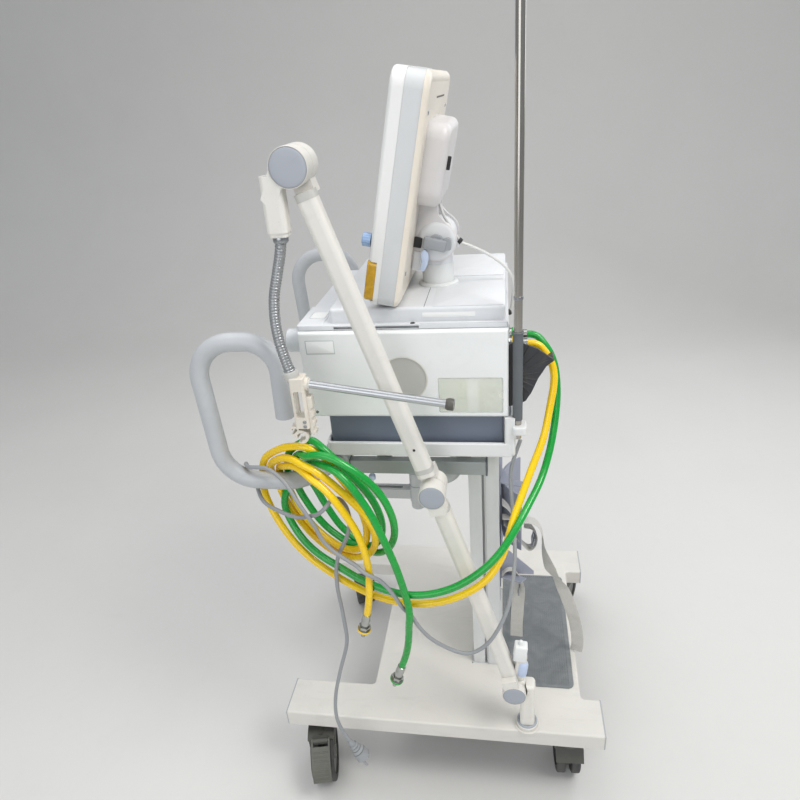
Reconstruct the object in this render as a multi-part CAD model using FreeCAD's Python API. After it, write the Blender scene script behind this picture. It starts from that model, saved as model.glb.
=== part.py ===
import FreeCAD, Part
import math, os
from FreeCAD import Vector

# Hospital ventilator on a wheeled stand, with display, infusion pole, support arm and hoses.
# Millimetres. +Z is up, the floor is z = 0 and the origin lies under the centre of the base.
# The front faces -Y, and +X is to the right as seen from the front.

os.makedirs("parts", exist_ok=True)

# ================================================================ shared dimensions
BASE_TOP = 200.0
COL_X, COL_Y0, COL_Y1 = 121.0, 65.0, 125.0                # column
FRAME_TOP = 196.2                                         # steel frame, carries the column foot
FOOT_X, FOOT_LIP, FOOT_TOP = 124.0, 4.0, 199.6            # column foot plate
SHELF_X, SHELF_Y0, SHELF_Y1, SHELF_Z0, SHELF_Z1 = 207.0, -186.0, 155.0, 808.0, 835.0
UNIT_X, UNIT_Y0, UNIT_Y1, UNIT_Z0, UNIT_Z1 = 190.0, -179.0, 135.0, 814.2, 884.5
PANEL_X, PANEL_Y0, PANEL_Y1, PANEL_Z0, PANEL_Z1 = 200.0, -212.0, 143.0, 885.0, 1045.0
TOP_Z, STEP_Z = 1078.0, 1053.0                            # raised centre and shoulders of the top
POLE_X, POLE_Y, POLE_R = 195.0, 158.0, 7.0                # infusion pole
POST_X, POST_Y, POST_R = 30.0, 16.0, 29.0                 # display post
ARM_X, ARM_POST_Y = 268.0, 181.0                          # support arm
GAS_X, GAS_Z = (85, 130), 993                             # oxygen and air inlets at the rear
FRONT_PORTS = ((150, 1014), (-60, 960), (20, 960))        # x, z of the breathing ports
COLUMN_BOLTS = [(side * 60, y) for side in (1, -1) for y in (84, 106)]
SHELF_BOLTS = [(side * 60, y) for side in (1, -1) for y in (-40, 20)]
BOLT_R, BOLT_HOLE_R = 4.9, 5.2
X, Y, Z = Vector(1, 0, 0), Vector(0, 1, 0), Vector(0, 0, 1)

# ---------------------------------------------------------------- hose and cable centre lines
# Each row holds points (x, y, z), from the ventilator to the free end.
AIR_HOSE = [
    (130, 176, 993), (130, 185, 993), (130.9, 195.7, 989.5), (135.1, 209.4, 974),
    (139, 218.6, 955.4), (143.1, 222.1, 935.5), (147.7, 220.5, 915.1), (153.4, 217.1, 895.1),
    (160.7, 213.5, 875.7), (168.6, 209.8, 856.6), (177.1, 205.2, 838), (186.6, 198.7, 820.4),
    (197.1, 191.1, 803.9), (208.4, 183.4, 788), (220.6, 176, 772.5), (233.1, 168.9, 757.2),
    (245.2, 161.7, 741.6), (257, 154.5, 725.7), (268.7, 148.3, 709.4), (279.9, 143, 692.5),
    (290.4, 137.3, 675.2), (299.4, 129.5, 658), (306.9, 119.3, 641.2), (313, 106.8, 625.5),
    (317.4, 91.8, 611.6), (319.8, 74.8, 599.6), (321.1, 56.7, 589), (322, 37.7, 580),
    (322.2, 17.9, 573.1), (322.1, -2.6, 568.5), (322, -23.5, 566.5), (322.1, -44.4, 567.4),
    (322, -65.1, 570.9), (321.5, -85.3, 576.6), (320.7, -105, 584), (319.6, -124, 592.9),
    (318.2, -142.3, 603.1), (316.3, -160.1, 614), (313.5, -177.8, 625.1), (309.9, -195.3, 636.1),
    (305.8, -212.2, 647.9), (301.2, -228, 660.9), (296.3, -242.4, 675.4), (291, -255.6, 690.9),
    (285, -267.7, 706.9), (278.2, -278.5, 723.7), (271.8, -287.9, 741.4), (266.5, -294.8, 760.3),
    (262.7, -296.5, 780.4), (260.9, -293.7, 801.4), (265.1, -289.2, 822.3), (270.6, -279.7, 841.3),
    (277.9, -263.4, 855.3), (285.9, -247.6, 866.6), (293.7, -231, 876.4), (301.6, -212.4, 883),
    (304.8, -191.5, 884.9), (303, -173.1, 873.2), (301.9, -155.8, 859), (308.8, -145.1, 841),
    (310.1, -133.6, 823.8), (308.9, -123.2, 805.5), (307.7, -115.2, 786), (307.5, -108.9, 766),
    (306.6, -104.3, 745.6), (304.5, -102.4, 724.8), (301.6, -103.6, 704.1), (297.5, -108.8, 684.2),
    (292.5, -119, 667), (287.2, -135.1, 656), (279.9, -154, 652), (271.9, -171.6, 653.9),
    (265.3, -188.5, 661.2), (261.1, -204.7, 673.4), (258.3, -218.6, 688.6), (256.6, -229.6, 705.8),
    (255.9, -238.6, 724), (255.1, -245.9, 742.9), (251, -253.1, 762.8), (248.1, -267, 781.9),
    (256.8, -277.3, 801.7), (268, -274, 821.5), (279.1, -264.1, 837.1), (288.1, -249.3, 848.9),
    (297.6, -233.3, 858.6), (307.6, -216, 862.2), (317.2, -197.3, 857.9), (321.3, -179, 850.7),
    (322.1, -162.5, 838.4), (322.1, -147.4, 823.6), (322.6, -133.4, 807.9), (323.1, -119.8, 791.9),
    (322.1, -107.1, 775.1), (320.3, -96.7, 756.9), (318.5, -89.2, 737.4), (315.8, -85.7, 716.9),
    (311.9, -87.1, 696.5), (307.2, -93.2, 677), (301.5, -104, 660.2), (294.9, -119.4, 647.8),
    (288.3, -137.6, 639.4), (281.5, -158.5, 637.5), (274.5, -180.1, 641.4), (267.3, -198.9, 650.1),
    (261.7, -215.1, 662.1), (258.5, -229.1, 677.5), (256.7, -240.9, 695.5), (255.8, -250.8, 714.7),
    (255.9, -258.9, 734.8), (258.1, -265.2, 755.2), (264.4, -265, 776.5), (260.7, -261.3, 800),
    (267, -258.1, 823.2), (284.6, -244.8, 832.1), (295.2, -229.1, 841.1), (305.7, -212.9, 846.1),
    (316.3, -196.7, 842.7), (325, -180.8, 833.1), (329.4, -164.2, 822.3), (334.3, -149.4, 808.6),
    (336.3, -138, 790.7), (336, -128.1, 771.8), (337.7, -118.3, 753.3), (339.3, -110, 734.1),
    (340.7, -104.1, 714.1), (341.8, -100.5, 693.4), (340.7, -98.5, 672.5), (338, -98.1, 651.2),
    (343, -99.3, 630.4), (344.1, -100.9, 609.6), (343.1, -103.6, 588.7), (342.6, -107.5, 568),
    (342, -114.1, 540.8),
]
OXYGEN_HOSE = [
    (85, 176, 993), (85, 185, 993), (86.5, 195.5, 989.4), (92.8, 209, 974.3),
    (98.1, 219.5, 956.7), (103.2, 225.6, 937.4), (108.9, 228.6, 917.4), (115.2, 229.9, 897.4),
    (122.7, 229.5, 877.8), (131.3, 227.8, 858.7), (140.5, 225.4, 839.9), (150.7, 222.1, 821.8),
    (161.9, 218, 804.6), (174.2, 212.9, 788.3), (187.5, 206.9, 773.1), (202.4, 200, 760.2),
    (219.1, 191.9, 750.5), (236.4, 183.1, 742.6), (253.3, 174.1, 733.8), (269.3, 164.8, 723.9),
    (284.2, 154.7, 713), (297.6, 144.1, 700.7), (308.9, 132.6, 687.4), (317.8, 119.4, 673.7),
    (324.2, 104.6, 660.2), (328.8, 88.7, 647.3), (332.2, 71.9, 635.1), (334.5, 54.2, 624.1),
    (335.6, 35.4, 614.7), (336.1, 15.8, 607.3), (336.2, -4.6, 602.2), (335.6, -25.4, 599.9),
    (334.8, -46.3, 600.9), (333.6, -66.9, 604.8), (331.2, -87, 610.7), (328.5, -106.5, 618.2),
    (326.5, -125.4, 627), (322.5, -143.8, 636.3), (318, -162.1, 645.8), (315.2, -180.5, 655.6),
    (309.7, -198.2, 665.3), (301.7, -215, 675), (293.1, -229.9, 686.9), (285, -242.5, 701.6),
    (277.4, -252.9, 718.3), (272, -259.4, 737), (271, -257.2, 756.7), (267.2, -250.2, 776.3),
    (261.1, -247.1, 795.9), (261.6, -244.6, 817.7), (269, -240.4, 838.6), (276.4, -231, 857.2),
    (283.7, -217.1, 871.6), (289, -200.8, 884.2), (294.3, -180.8, 892.7), (304.7, -162.5, 883.9),
    (308.4, -147, 869.5), (308.3, -134.4, 852.2), (308.1, -121.2, 835.9), (307.8, -107.9, 819.7),
    (307.1, -96.4, 802.1), (306, -87, 783.4), (304.7, -79.9, 763.7), (303.1, -75.5, 743.2),
    (300.4, -74.8, 722.5), (296.6, -78, 702.1), (291.6, -85.3, 683.1), (285.5, -97.4, 667.7),
    (278.7, -114.4, 658.8), (272.2, -132.9, 653.8), (264.6, -151.5, 654.1), (258, -169.7, 662.4),
    (254.5, -186.4, 674.7), (252.1, -200.6, 689.9), (250.6, -212.1, 707.4), (250, -221.4, 726.2),
    (250.5, -229.4, 745.7), (251.9, -235.6, 765.7), (252.3, -236.6, 785.3), (253.3, -233.4, 806.3),
    (264.8, -228.6, 825.5), (278.3, -225.2, 840.3), (288.2, -216.5, 854.7), (298.3, -203.6, 866.7),
    (315, -190.2, 871.4), (320.1, -169.7, 878.8), (323.1, -149.1, 877.5), (326, -130, 869.3),
    (327.2, -112.4, 857.8), (327, -96.4, 844.2), (326, -82.1, 828.9), (324.7, -70.2, 811.7),
    (323.6, -61.1, 792.9), (322.4, -54.5, 773), (320.7, -50.4, 752.4), (317.8, -49.6, 731.7),
    (313.7, -52.3, 711.4), (308.7, -58.6, 692), (302.9, -68.3, 674.3), (295.1, -81.2, 660.1),
    (285.5, -96.7, 649.9), (273.1, -112.9, 644), (258.3, -130.2, 648.2), (251.7, -147.7, 661.4),
    (248.9, -163.3, 674.8), (245.6, -175.4, 691.2), (243.3, -185.5, 709.5), (242.1, -194.5, 728.5),
    (242.5, -201.6, 748.2), (244, -207.8, 767.7), (241.4, -220.9, 787.1), (244, -222.6, 814.9),
    (264.5, -209.3, 828.7), (279.5, -197.9, 838.9), (292.7, -185.5, 848.8), (308.3, -172.1, 854.5),
    (320.5, -154.8, 856.9), (328.7, -136.6, 852.6), (334.6, -121, 840.5), (337.9, -108.3, 824.1),
    (340.2, -97.4, 806.3), (342.1, -87.2, 788), (343.5, -78.6, 768.9), (344.5, -71.6, 749.1),
    (345.5, -65, 729.2), (346.5, -58.4, 709.2), (347.6, -52.2, 689.2), (348.7, -46.5, 668.9),
    (349.4, -41.7, 648.5), (349.8, -37.7, 627.9), (350.3, -34.2, 607.1), (351.6, -30.5, 586.5),
    (354.7, -30, 565.3), (351.9, -33.2, 544.1), (349.9, -34.9, 523.3), (349.6, -37.2, 502.4),
    (349.2, -40.5, 481.7), (348.8, -45.6, 461.3), (348.4, -52.2, 441.4), (348, -59.2, 421.5),
]
POWER_CABLE = [
    (140, 165, 806), (141.8, 160.4, 791.8), (143.7, 155.8, 777.6), (146, 151.6, 763.4),
    (149.2, 148.4, 749.1), (154, 147, 735), (160, 147.3, 721.3), (167.1, 148.4, 708),
    (175.1, 149.5, 695.4), (184.4, 150.5, 683.6), (194.6, 151.6, 672.7), (205.2, 152.6, 662.1),
    (215.7, 153.4, 651.3), (226.1, 154.1, 640.5), (236.5, 154.5, 629.7), (246.7, 154.4, 618.7),
    (256.8, 153.6, 607.5), (266.1, 152.1, 595.9), (274.4, 150.1, 583.6), (281.9, 148, 570.7),
    (288.8, 145.5, 557.6), (294.9, 142.1, 544.3), (300.2, 137.5, 531.1), (304.5, 131.8, 517.9),
    (308.2, 125.4, 504.8), (311.6, 118.4, 491.9), (314.5, 110.7, 479.4), (316.6, 101.4, 467.8),
    (317.9, 90.4, 457.6), (319, 77.9, 449.5), (319.9, 63.8, 446.5), (320.6, 49.5, 450.1),
    (321.5, 36.2, 457.2), (323.2, 24.1, 465.9), (325.6, 13.1, 475.8), (328.5, 3.5, 486.9),
    (332, -4.2, 499.3), (335.9, -10.2, 512.5), (340, -15.4, 526), (343.4, -20.4, 539.7),
    (343, -25.8, 553.3), (343.4, -34.9, 566.6), (349.1, -41.4, 579.8), (352, -45.9, 593.5),
    (352, -52.2, 607), (350.7, -59.6, 620), (348.7, -68.9, 631.6), (346.9, -79.6, 641.8),
    (349.9, -91.4, 651.2), (349.1, -105.6, 658.8), (341.9, -117.3, 666.5), (340.4, -129.7, 674.3),
    (339.6, -142.2, 682.7), (338.6, -154.1, 691.8), (337.4, -165, 702), (336.2, -173.9, 713.9),
    (335.2, -179.8, 727.6), (334.7, -184.3, 741.9), (336.6, -189.7, 755.9), (335.5, -196.5, 769.2),
    (333, -204.3, 782), (330, -212, 794.5), (326.2, -219.1, 807.2), (322, -227.1, 819.1),
    (317.2, -237.3, 828.9), (311.5, -249.2, 836.1), (305.3, -262, 839.8), (299.9, -275.9, 839),
    (295.6, -290.1, 836.2), (291, -303.9, 833.2), (282, -312.6, 833.1), (269.1, -317.9, 828.3),
    (261.8, -320.5, 815.8), (258.5, -316.4, 802.4), (262.8, -310.1, 790.6), (273, -304.1, 781.7),
    (284.5, -297.5, 774.3), (295.5, -289.3, 768.6), (304.5, -278, 765.1), (311.8, -265, 763.3),
    (318, -251.4, 761.6), (323.1, -237.4, 759.5), (327.3, -223.1, 757.7), (329.6, -208.5, 757.4),
    (327.3, -193.5, 760), (332.2, -179.9, 765.9), (335.6, -168.8, 775.3), (335.8, -159.1, 786.4),
    (329.1, -152, 794.5), (323.3, -142.7, 796.6), (320, -134.8, 787.5), (315.9, -130.8, 773.4),
    (313.2, -128.7, 758.7), (312.2, -128.3, 743.8), (313.1, -130.4, 729), (315.6, -134.3, 714.7),
    (318.7, -139.9, 701.2), (322.4, -147.2, 688.7), (325.5, -153.6, 675.6), (327.5, -157.3, 661.2),
    (330.2, -160, 646.5), (329.9, -161.5, 631.5), (329.8, -162.5, 616.5), (330.2, -162.9, 601.5),
    (330.2, -162.4, 586.5), (330.1, -161.4, 571.5), (330, -160.7, 556.5), (330, -160.2, 541.5),
    (330, -159.9, 526.5), (330, -159.4, 511.5), (330, -158.9, 496.4), (330, -159.2, 481.4),
    (330, -161.1, 466.5), (330, -164.3, 451.9), (330, -168.5, 437.4), (330, -173, 423.1),
    (330, -177.4, 408.7), (330, -181.6, 394.3), (330, -185.6, 379.8), (330, -189.6, 365.4),
    (330, -193.5, 350.8), (330, -197.1, 336.3), (330, -200.2, 321.6), (330, -202.8, 306.8),
    (330, -204.9, 291.9), (330, -206.5, 276.9), (330, -207.2, 261.9), (330, -206.8, 246.9),
    (330, -204.7, 232.1), (330, -201.1, 217.5), (330, -196.3, 203.3), (330, -186.8, 180.1),
]
HOSE_R, CABLE_R = 6.5, 3.6


# ================================================================ helpers
def box(x0, x1, y0, y1, z0, z1):
    """box between limits; x and y limits may come in either order, for mirrored parts"""
    x0, x1 = sorted((x0, x1))
    y0, y1 = sorted((y0, y1))
    return Part.makeBox(x1 - x0, y1 - y0, z1 - z0, Vector(x0, y0, z0))


def parallel(edge, direction):
    if len(edge.Vertexes) < 2:
        return False
    chord = edge.Vertexes[-1].Point.sub(edge.Vertexes[0].Point)
    if chord.Length < 1e-6:
        return False
    chord.normalize()
    return abs(abs(chord.dot(direction)) - 1) < 1e-3


def closed(edge):
    return len(edge.Vertexes) == 1


def flat_at(edge, z):
    return abs(edge.BoundBox.ZMin - z) < 1e-3 and abs(edge.BoundBox.ZMax - z) < 1e-3


def centred_at(axis, value):
    """edge test: centre of mass at this coordinate"""
    return lambda edge: abs(getattr(edge.CenterOfMass, axis) - value) < 1e-3


def fillet(solid, test, radius):
    """round the edges that pass the test"""
    edges = [edge for edge in solid.Edges if test(edge)]
    if not edges:
        return solid
    for factor in (1, 0.6, 0.3):
        # guards against a radius the kernel can't fit: smaller ones follow, then none
        try:
            rounded = solid.makeFillet(radius * factor, edges)
            if rounded.isValid() and rounded.Volume > 0:
                return rounded if rounded.ShapeType == "Solid" else rounded.Solids[0]
        except Exception:
            pass
    return solid


def round_box(x0, x1, y0, y1, z0, z1, corner=0.0, high=0.0, low=0.0, axis="z"):
    """box with rounded edges along its axis, then rounded loops at its high and low ends"""
    solid = box(x0, x1, y0, y1, z0, z1)
    direction = {"x": X, "y": Y, "z": Z}[axis]
    start, end = {"x": (x0, x1), "y": (y0, y1), "z": (z0, z1)}[axis]
    if corner > 0:
        solid = fillet(solid, lambda edge: parallel(edge, direction), corner)
    for value, radius in ((end, high), (start, low)):
        if radius > 0:
            solid = fillet(solid, lambda edge: all(
                abs(getattr(point, axis) - value) < 1e-4
                for point in [v.Point for v in edge.Vertexes] + [edge.CenterOfMass]), radius)
    return solid


def cylinder(start, axis, radius, length):
    return Part.makeCylinder(radius, length, Vector(*start), axis)


def round_cylinder(start, axis, radius, length, start_round=0.0, end_round=0.0):
    """cylinder along a unit axis with rounded rims"""
    start = Vector(*start)
    solid = cylinder(start, axis, radius, length)
    for rim_round, centre in ((start_round, start), (end_round, start + axis * length)):
        if rim_round > 0:
            solid = fillet(solid, lambda edge: closed(edge)
                           and edge.CenterOfMass.sub(centre).Length < 1e-3, rim_round)
    return solid


def tube(start, axis, radius, bore_radius, length):
    return cylinder(start, axis, radius, length).cut(cylinder(start, axis, bore_radius, length))


def cylinder_stack(start, axis, steps):
    """cylinders end to end along a unit axis, steps as (radius, length)"""
    stack = []
    for radius, length in steps:
        stack.append(cylinder(start, axis, radius, length))
        start = start + axis * length
    return stack


def fuse(first, *others):
    for other in others:
        first = first.fuse(other)
    return first.removeSplitter()


def cut(solid, *tools):
    for tool in tools:
        solid = solid.cut(tool)
    return solid


def unit(x, y, z):
    return Vector(x, y, z).normalize()


def prism(points, extrusion):
    corners = [Vector(*point) for point in points]
    return Part.Face(Part.makePolygon(corners + [corners[0]])).extrude(Vector(*extrusion))


def prism_x(outline, x, width):
    """(y, z) outline extruded along X"""
    return prism([(x, y, z) for y, z in outline], (width, 0, 0))


def prism_y(outline, y, width):
    """(x, z) outline extruded along Y"""
    return prism([(x, y, z) for x, z in outline], (0, width, 0))


def bolt_holes(places):
    return Part.makeCompound([cylinder((x, y, SHELF_Z0 - 8), Z, BOLT_HOLE_R, 30)
                              for x, y in places])


def sweep_straight(ring, step, faces):
    """add the wall swept by the ring along a step, and return the moved ring"""
    faces += ring.extrude(step).Faces
    ring = ring.copy()
    ring.translate(step)
    return ring


def pipe(points, radius, bends=None):
    """round bar of exact straight and circular spans.

    bends gives the centre-line radius at each inner point; without it each
    bend takes up a fixed share of the shorter span beside it.
    """
    points = [Vector(*point) for point in points]
    ring = Part.Circle(points[0], (points[1] - points[0]).normalize(), radius).toShape()
    first_ring = ring.copy()
    faces = []
    here = points[0]
    for i in range(1, len(points) - 1):
        corner = points[i]
        arriving, leaving = corner - points[i - 1], points[i + 1] - corner
        setback = min(arriving.Length, leaving.Length) * 0.485
        arriving.normalize()
        leaving.normalize()
        turn = math.acos(max(-1.0, min(1.0, arriving.dot(leaving))))
        if bends:
            setback = bends[i - 1] * math.tan(turn / 2)
        bend_start, bend_end = corner - arriving * setback, corner + leaving * setback
        if (bend_start - here).Length > 1e-5:
            ring = sweep_straight(ring, bend_start - here, faces)
        if turn > 1e-4:
            normal = arriving.cross(leaving)
            normal.normalize()
            centre = bend_start + normal.cross(arriving) * (setback / math.tan(turn / 2))
            faces += ring.revolve(centre, normal, math.degrees(turn)).Faces
            ring = ring.copy()
            ring.rotate(centre, normal, math.degrees(turn))
        else:
            ring = sweep_straight(ring, bend_end - bend_start, faces)
        here = bend_end
    if (points[-1] - here).Length > 1e-5:
        ring = sweep_straight(ring, points[-1] - here, faces)
    faces += [Part.Face(Part.Wire([end])) for end in (first_ring, ring)]
    shell = Part.makeShell(faces)
    shell.sewShape()
    solid = Part.makeSolid(shell)
    if solid.Volume < 0:
        solid.reverse()
    if not solid.isValid():
        solid.fix(1e-3, 1e-3, 1e-2)
    return solid.Solids[0]


def export(name, shape):
    solids = shape.Solids
    piece = solids[0] if len(solids) == 1 else Part.makeCompound(solids)
    piece.exportStep("parts/%s.step" % name)


# ================================================================ base
BASE_X, BASE_Y = 577.0 / 2, 677.0 / 2        # half width and half length
BASE_LOW = BASE_TOP - 38.0
BEAM_IN = BASE_X - 89.0                      # inner face of a side beam
PLATE_Y0, PLATE_Y1 = -155.0, 297.0           # plate between the beams
COVER_WALL, CAP_T = 3.2, 3.0
COVER_END = BASE_Y - COVER_WALL
CAP_RIBS = ((BEAM_IN + 12, BEAM_IN + 15), (BASE_X - 15, BASE_X - 12))
CORNERS = [(side_x, side_y) for side_x in (1, -1) for side_y in (1, -1)]
CASTER_X = 240.0
CASTERS = {                                  # swivel axis x, y and heading (deg)
    "front_right": (CASTER_X, -278.0, 12.0),
    "rear_right": (CASTER_X, 272.0, 182.0),
    "front_left": (-CASTER_X, -278.0, 200.0),
    "rear_left": (-CASTER_X, 272.0, 150.0),
}


def base_plan(inset, z0, z1, end_y):
    """two side beams joined by the plate"""
    right, left = [box(side * (BEAM_IN + inset), side * (BASE_X - inset), -end_y, end_y, z0, z1)
                   for side in (1, -1)]
    plate_x = BEAM_IN + 1 + inset
    return fuse(right, left,
                box(-plate_x, plate_x, PLATE_Y0 + inset, PLATE_Y1 - inset, z0, z1))


def cap_ribs(side_x, side_y, gap=0.0, end_gap=0.0):
    """locating ribs of one end cap, or with gaps the slots they fit"""
    return [box(side_x * (x0 - gap), side_x * (x1 + gap), side_y * (BASE_Y - 14 - end_gap),
                side_y * (BASE_Y - CAP_T + end_gap), BASE_LOW + 8 - gap, BASE_TOP - 6 + gap)
            for x0, x1 in CAP_RIBS]


def base_cover():
    outer = base_plan(0, BASE_LOW, BASE_TOP, COVER_END)
    outer = fillet(outer, lambda edge: parallel(edge, Z)
                   and abs(abs(edge.CenterOfMass.x) - BEAM_IN) < 0.1
                   and abs(abs(edge.CenterOfMass.y) - COVER_END) > 1, 9.0)
    outer = fillet(outer, lambda edge: flat_at(edge, BASE_TOP)
                   and not abs(abs(edge.CenterOfMass.y) - COVER_END) < 0.05, 4.0)
    cover = outer.cut(base_plan(COVER_WALL, BASE_LOW - 1, BASE_TOP - COVER_WALL, COVER_END - 3))
    # openings for the column foot and the arm post
    lip = FOOT_LIP + 0.3
    cover = cut(cover, box(-FOOT_X - 0.3, FOOT_X + 0.3, COL_Y0 - lip, COL_Y1 + lip,
                           BASE_TOP - 10, BASE_TOP + 1),
                cylinder((ARM_X, ARM_POST_Y, BASE_TOP - 10), Z, 14.2, 20))
    for corner in CORNERS:
        cover = cut(cover, *cap_ribs(*corner, gap=0.15, end_gap=0.5))
    return cover


def beam_end_caps():
    caps = []
    for side_x, side_y in CORNERS:
        end_y = side_y * BASE_Y
        cap = box(side_x * BEAM_IN, side_x * BASE_X, side_y * (BASE_Y - CAP_T), end_y,
                  BASE_LOW, BASE_TOP)
        cap = fillet(cap, lambda edge: abs(edge.CenterOfMass.y - end_y) < 1e-3
                     and edge.CenterOfMass.z > BASE_LOW + 1, 2.2)
        caps.append(fuse(cap, *cap_ribs(side_x, side_y)))
    return Part.makeCompound(caps)


def base_chassis():
    """steel tube frame inside the cover, with a caster socket at each corner"""
    low, wall = 165.0, 3
    z0, z1 = low + wall, FRAME_TOP - wall
    bores = [box(side * CASTER_X - 27, side * CASTER_X + 27, -319, 319, z0, z1)
             for side in (1, -1)]
    right, left = [box(side * CASTER_X - 30, side * CASTER_X + 30, -318, 318,
                       low, FRAME_TOP).cut(bore) for side, bore in zip((1, -1), bores)]
    frame = right.fuse(left)
    for y0, y1 in ((-110, -70), (60, 130), (215, 255)):
        cross = box(-213, 213, y0, y1, low, FRAME_TOP)
        frame = frame.fuse(cross.cut(box(-214, 214, y0 + wall, y1 - wall, z0, z1)))
    frame = cut(frame, *bores)
    for x, y, _ in CASTERS.values():
        frame = frame.fuse(cylinder((x, y, 161.0), Z, 19, FRAME_TOP - 161.0))
    for x, y, _ in CASTERS.values():
        frame = frame.cut(cylinder((x, y, 150), Z, 11.1, 37.1))
    # plate that carries the arm post
    frame = frame.fuse(box(ARM_X - 24, ARM_X + 16, 157, 205, z1, FRAME_TOP))
    frame = frame.cut(cylinder((ARM_X, ARM_POST_Y, 180), Z, 12.1, 30))
    for x, y in COLUMN_BOLTS:
        frame = frame.cut(cylinder((x, y, 150), Z, BOLT_HOLE_R, 60))
    return frame.removeSplitter()


def cylinder_mat():
    """grooved mat on the base, where a gas cylinder stands"""
    mat = round_box(-178, 177, 131, 285, BASE_TOP, BASE_TOP + 3.0, corner=14, high=1.0)
    groove_w, pitch = 2.6, 5.2
    return mat.cut(Part.makeCompound([
        box(-172, 171, y, y + groove_w, BASE_TOP + 1.6, BASE_TOP + 4)
        for y in [137 + pitch * i for i in range(1, 1 + 27)] for y in [y]]))


# ================================================================ casters
# Built with the swivel axis on Z and the wheels trailing towards +X.
WHEEL_R, WHEEL_T, WHEEL_GAP = 125.0 / 2, 19.0, 6.0     # gap: middle plane to each wheel
TRAIL = 38
HOOD_R, HOOD_BORE_R = WHEEL_R + 9.5, WHEEL_R + 4.0


def on_axle(y, radius, width):
    return cylinder((TRAIL, y, WHEEL_R), Y, radius, width)


def around_axle(radius, degrees):
    """x, z at an angle above +X round the axle"""
    angle = math.radians(degrees)
    return TRAIL + radius * math.cos(angle), WHEEL_R + radius * math.sin(angle)


HINGE_X, HINGE_Z = around_axle(WHEEL_R + 12.5, 70)     # pedal hinge


def caster_wheels():
    wheels = []
    outer_y = WHEEL_GAP + WHEEL_T
    for wheel_y, groove_y in ((WHEEL_GAP, outer_y - 4), (-outer_y, -outer_y)):
        wheel = on_axle(wheel_y, WHEEL_R, WHEEL_T)
        wheel = fillet(wheel, lambda edge: closed(edge)
                       and abs(edge.Length - 2 * math.pi * WHEEL_R) < 0.1, 4.0)
        wheels.append(wheel.cut(on_axle(groove_y, WHEEL_R - 13, 4).cut(on_axle(groove_y, 17, 4))))
    return fuse(*wheels, on_axle(-7, 6.0, 14))


def caster_housing():
    """hood over the wheels, web between them, swivel head, stem and pedal hinge lug"""
    hood = on_axle(-29, HOOD_R, 58).cut(on_axle(-30, HOOD_BORE_R, 60))
    hood = hood.common(box(TRAIL - 90, TRAIL + 20, -40, 40, WHEEL_R + 4, 150))
    hood = hood.cut(box(TRAIL - 80, TRAIL - 44, -40, 40, 0, WHEEL_R + 22))
    for y in (26.2, -29.0):
        cheek = on_axle(y, HOOD_BORE_R + 0.5, 2.8)
        hood = hood.fuse(cheek.common(box(TRAIL - 60, TRAIL + 12, -40, 40, WHEEL_R + 34, 150)))
    web = on_axle(-4.6, WHEEL_R - 16, 9.2)
    web = web.fuse(box(-16, TRAIL + 12, -4.6, 4.6, WHEEL_R + 10, 136))
    web = web.common(box(-30, 120, -10, 10, 18, 140)).cut(on_axle(-10, 6.08, 20))
    body = hood.fuse(web).fuse(round_cylinder((0, 0, 126), Z, 27, 34.0, end_round=3.0))
    clear_r = HOOD_BORE_R - 0.3
    body = body.cut(on_axle(5.4, clear_r, 20.6).fuse(on_axle(-26.0, clear_r, 20.6)))
    body = body.fuse(cylinder((0, 0, 150), Z, 11.0, 35.0))
    lug = box(HINGE_X - 12, HINGE_X + 5, -16, 16, HINGE_Z - 5.5, HINGE_Z + 2)
    lug = lug.fuse(cylinder((HINGE_X, -16, HINGE_Z), Y, 5.5, 32)).cut(on_axle(-40, clear_r, 80))
    body = body.fuse(lug).cut(cylinder((HINGE_X, -40, HINGE_Z), Y, 2.48, 80))
    return body.removeSplitter()


def caster_pedal():
    """curved ribbed brake pedal on its own pin"""
    outer_r = WHEEL_R + 17.5
    pedal = on_axle(-20, outer_r, 40).cut(on_axle(-21, WHEEL_R + 12.0, 42))
    wedge = [(TRAIL, WHEEL_R), around_axle(200, 60.0), (TRAIL + 200, WHEEL_R + 60),
             around_axle(200, 4.0)]
    pedal = pedal.common(prism_y(wedge, -30, 60))
    for i in range(8):
        x, z = around_axle(outer_r, 52 - 6 * i)
        pedal = pedal.fuse(cylinder((x, -16, z), Y, 1.5, 32))
    x, z = around_axle(WHEEL_R + 14.7, 57)
    link_outline = [(HINGE_X - 3, HINGE_Z + 4.4), (HINGE_X + 3, HINGE_Z - 4.4),
                    (x - 1.5, z - 2.4), (x + 1.5, z + 2.4)]
    for y in (16.6, -20.0):
        ear = cylinder((HINGE_X, y, HINGE_Z), Y, 5.5, 3.4)
        pedal = pedal.fuse(ear.fuse(prism_y(link_outline, y, 3.4)))
    return fuse(pedal, cylinder((HINGE_X, -20, HINGE_Z), Y, 2.4, 40))


# ================================================================ column
def column_profile(side):
    """slotted aluminium-type section with a strip on its outer face"""
    def pocket(depth0, depth1, y0, y1):
        return box(side * (COL_X - depth0), side * (COL_X - depth1), y0, y1,
                   BASE_TOP - 4, SHELF_Z0 + 1)

    bar = box(side * (COL_X - 40), side * COL_X, COL_Y0, COL_Y1, BASE_TOP - 3.2, SHELF_Z0)
    bar = fillet(bar, lambda edge: parallel(edge, Z), 2.0)
    bar = cut(bar, pocket(0, 5, 91, 96).fuse(pocket(5, 11, 85, 102)),
              pocket(6, 36, COL_Y0 + 4, 80), pocket(6, 36, 106, COL_Y1 - 4),
              pocket(16, 36, 84, 102), box(-200, 200, 0, 200, 190, FOOT_TOP))
    return fuse(bar, round_box(side * COL_X, side * (COL_X + 2.5), 99, COL_Y1,
                               FOOT_TOP, SHELF_Z0, corner=0.8))


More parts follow.
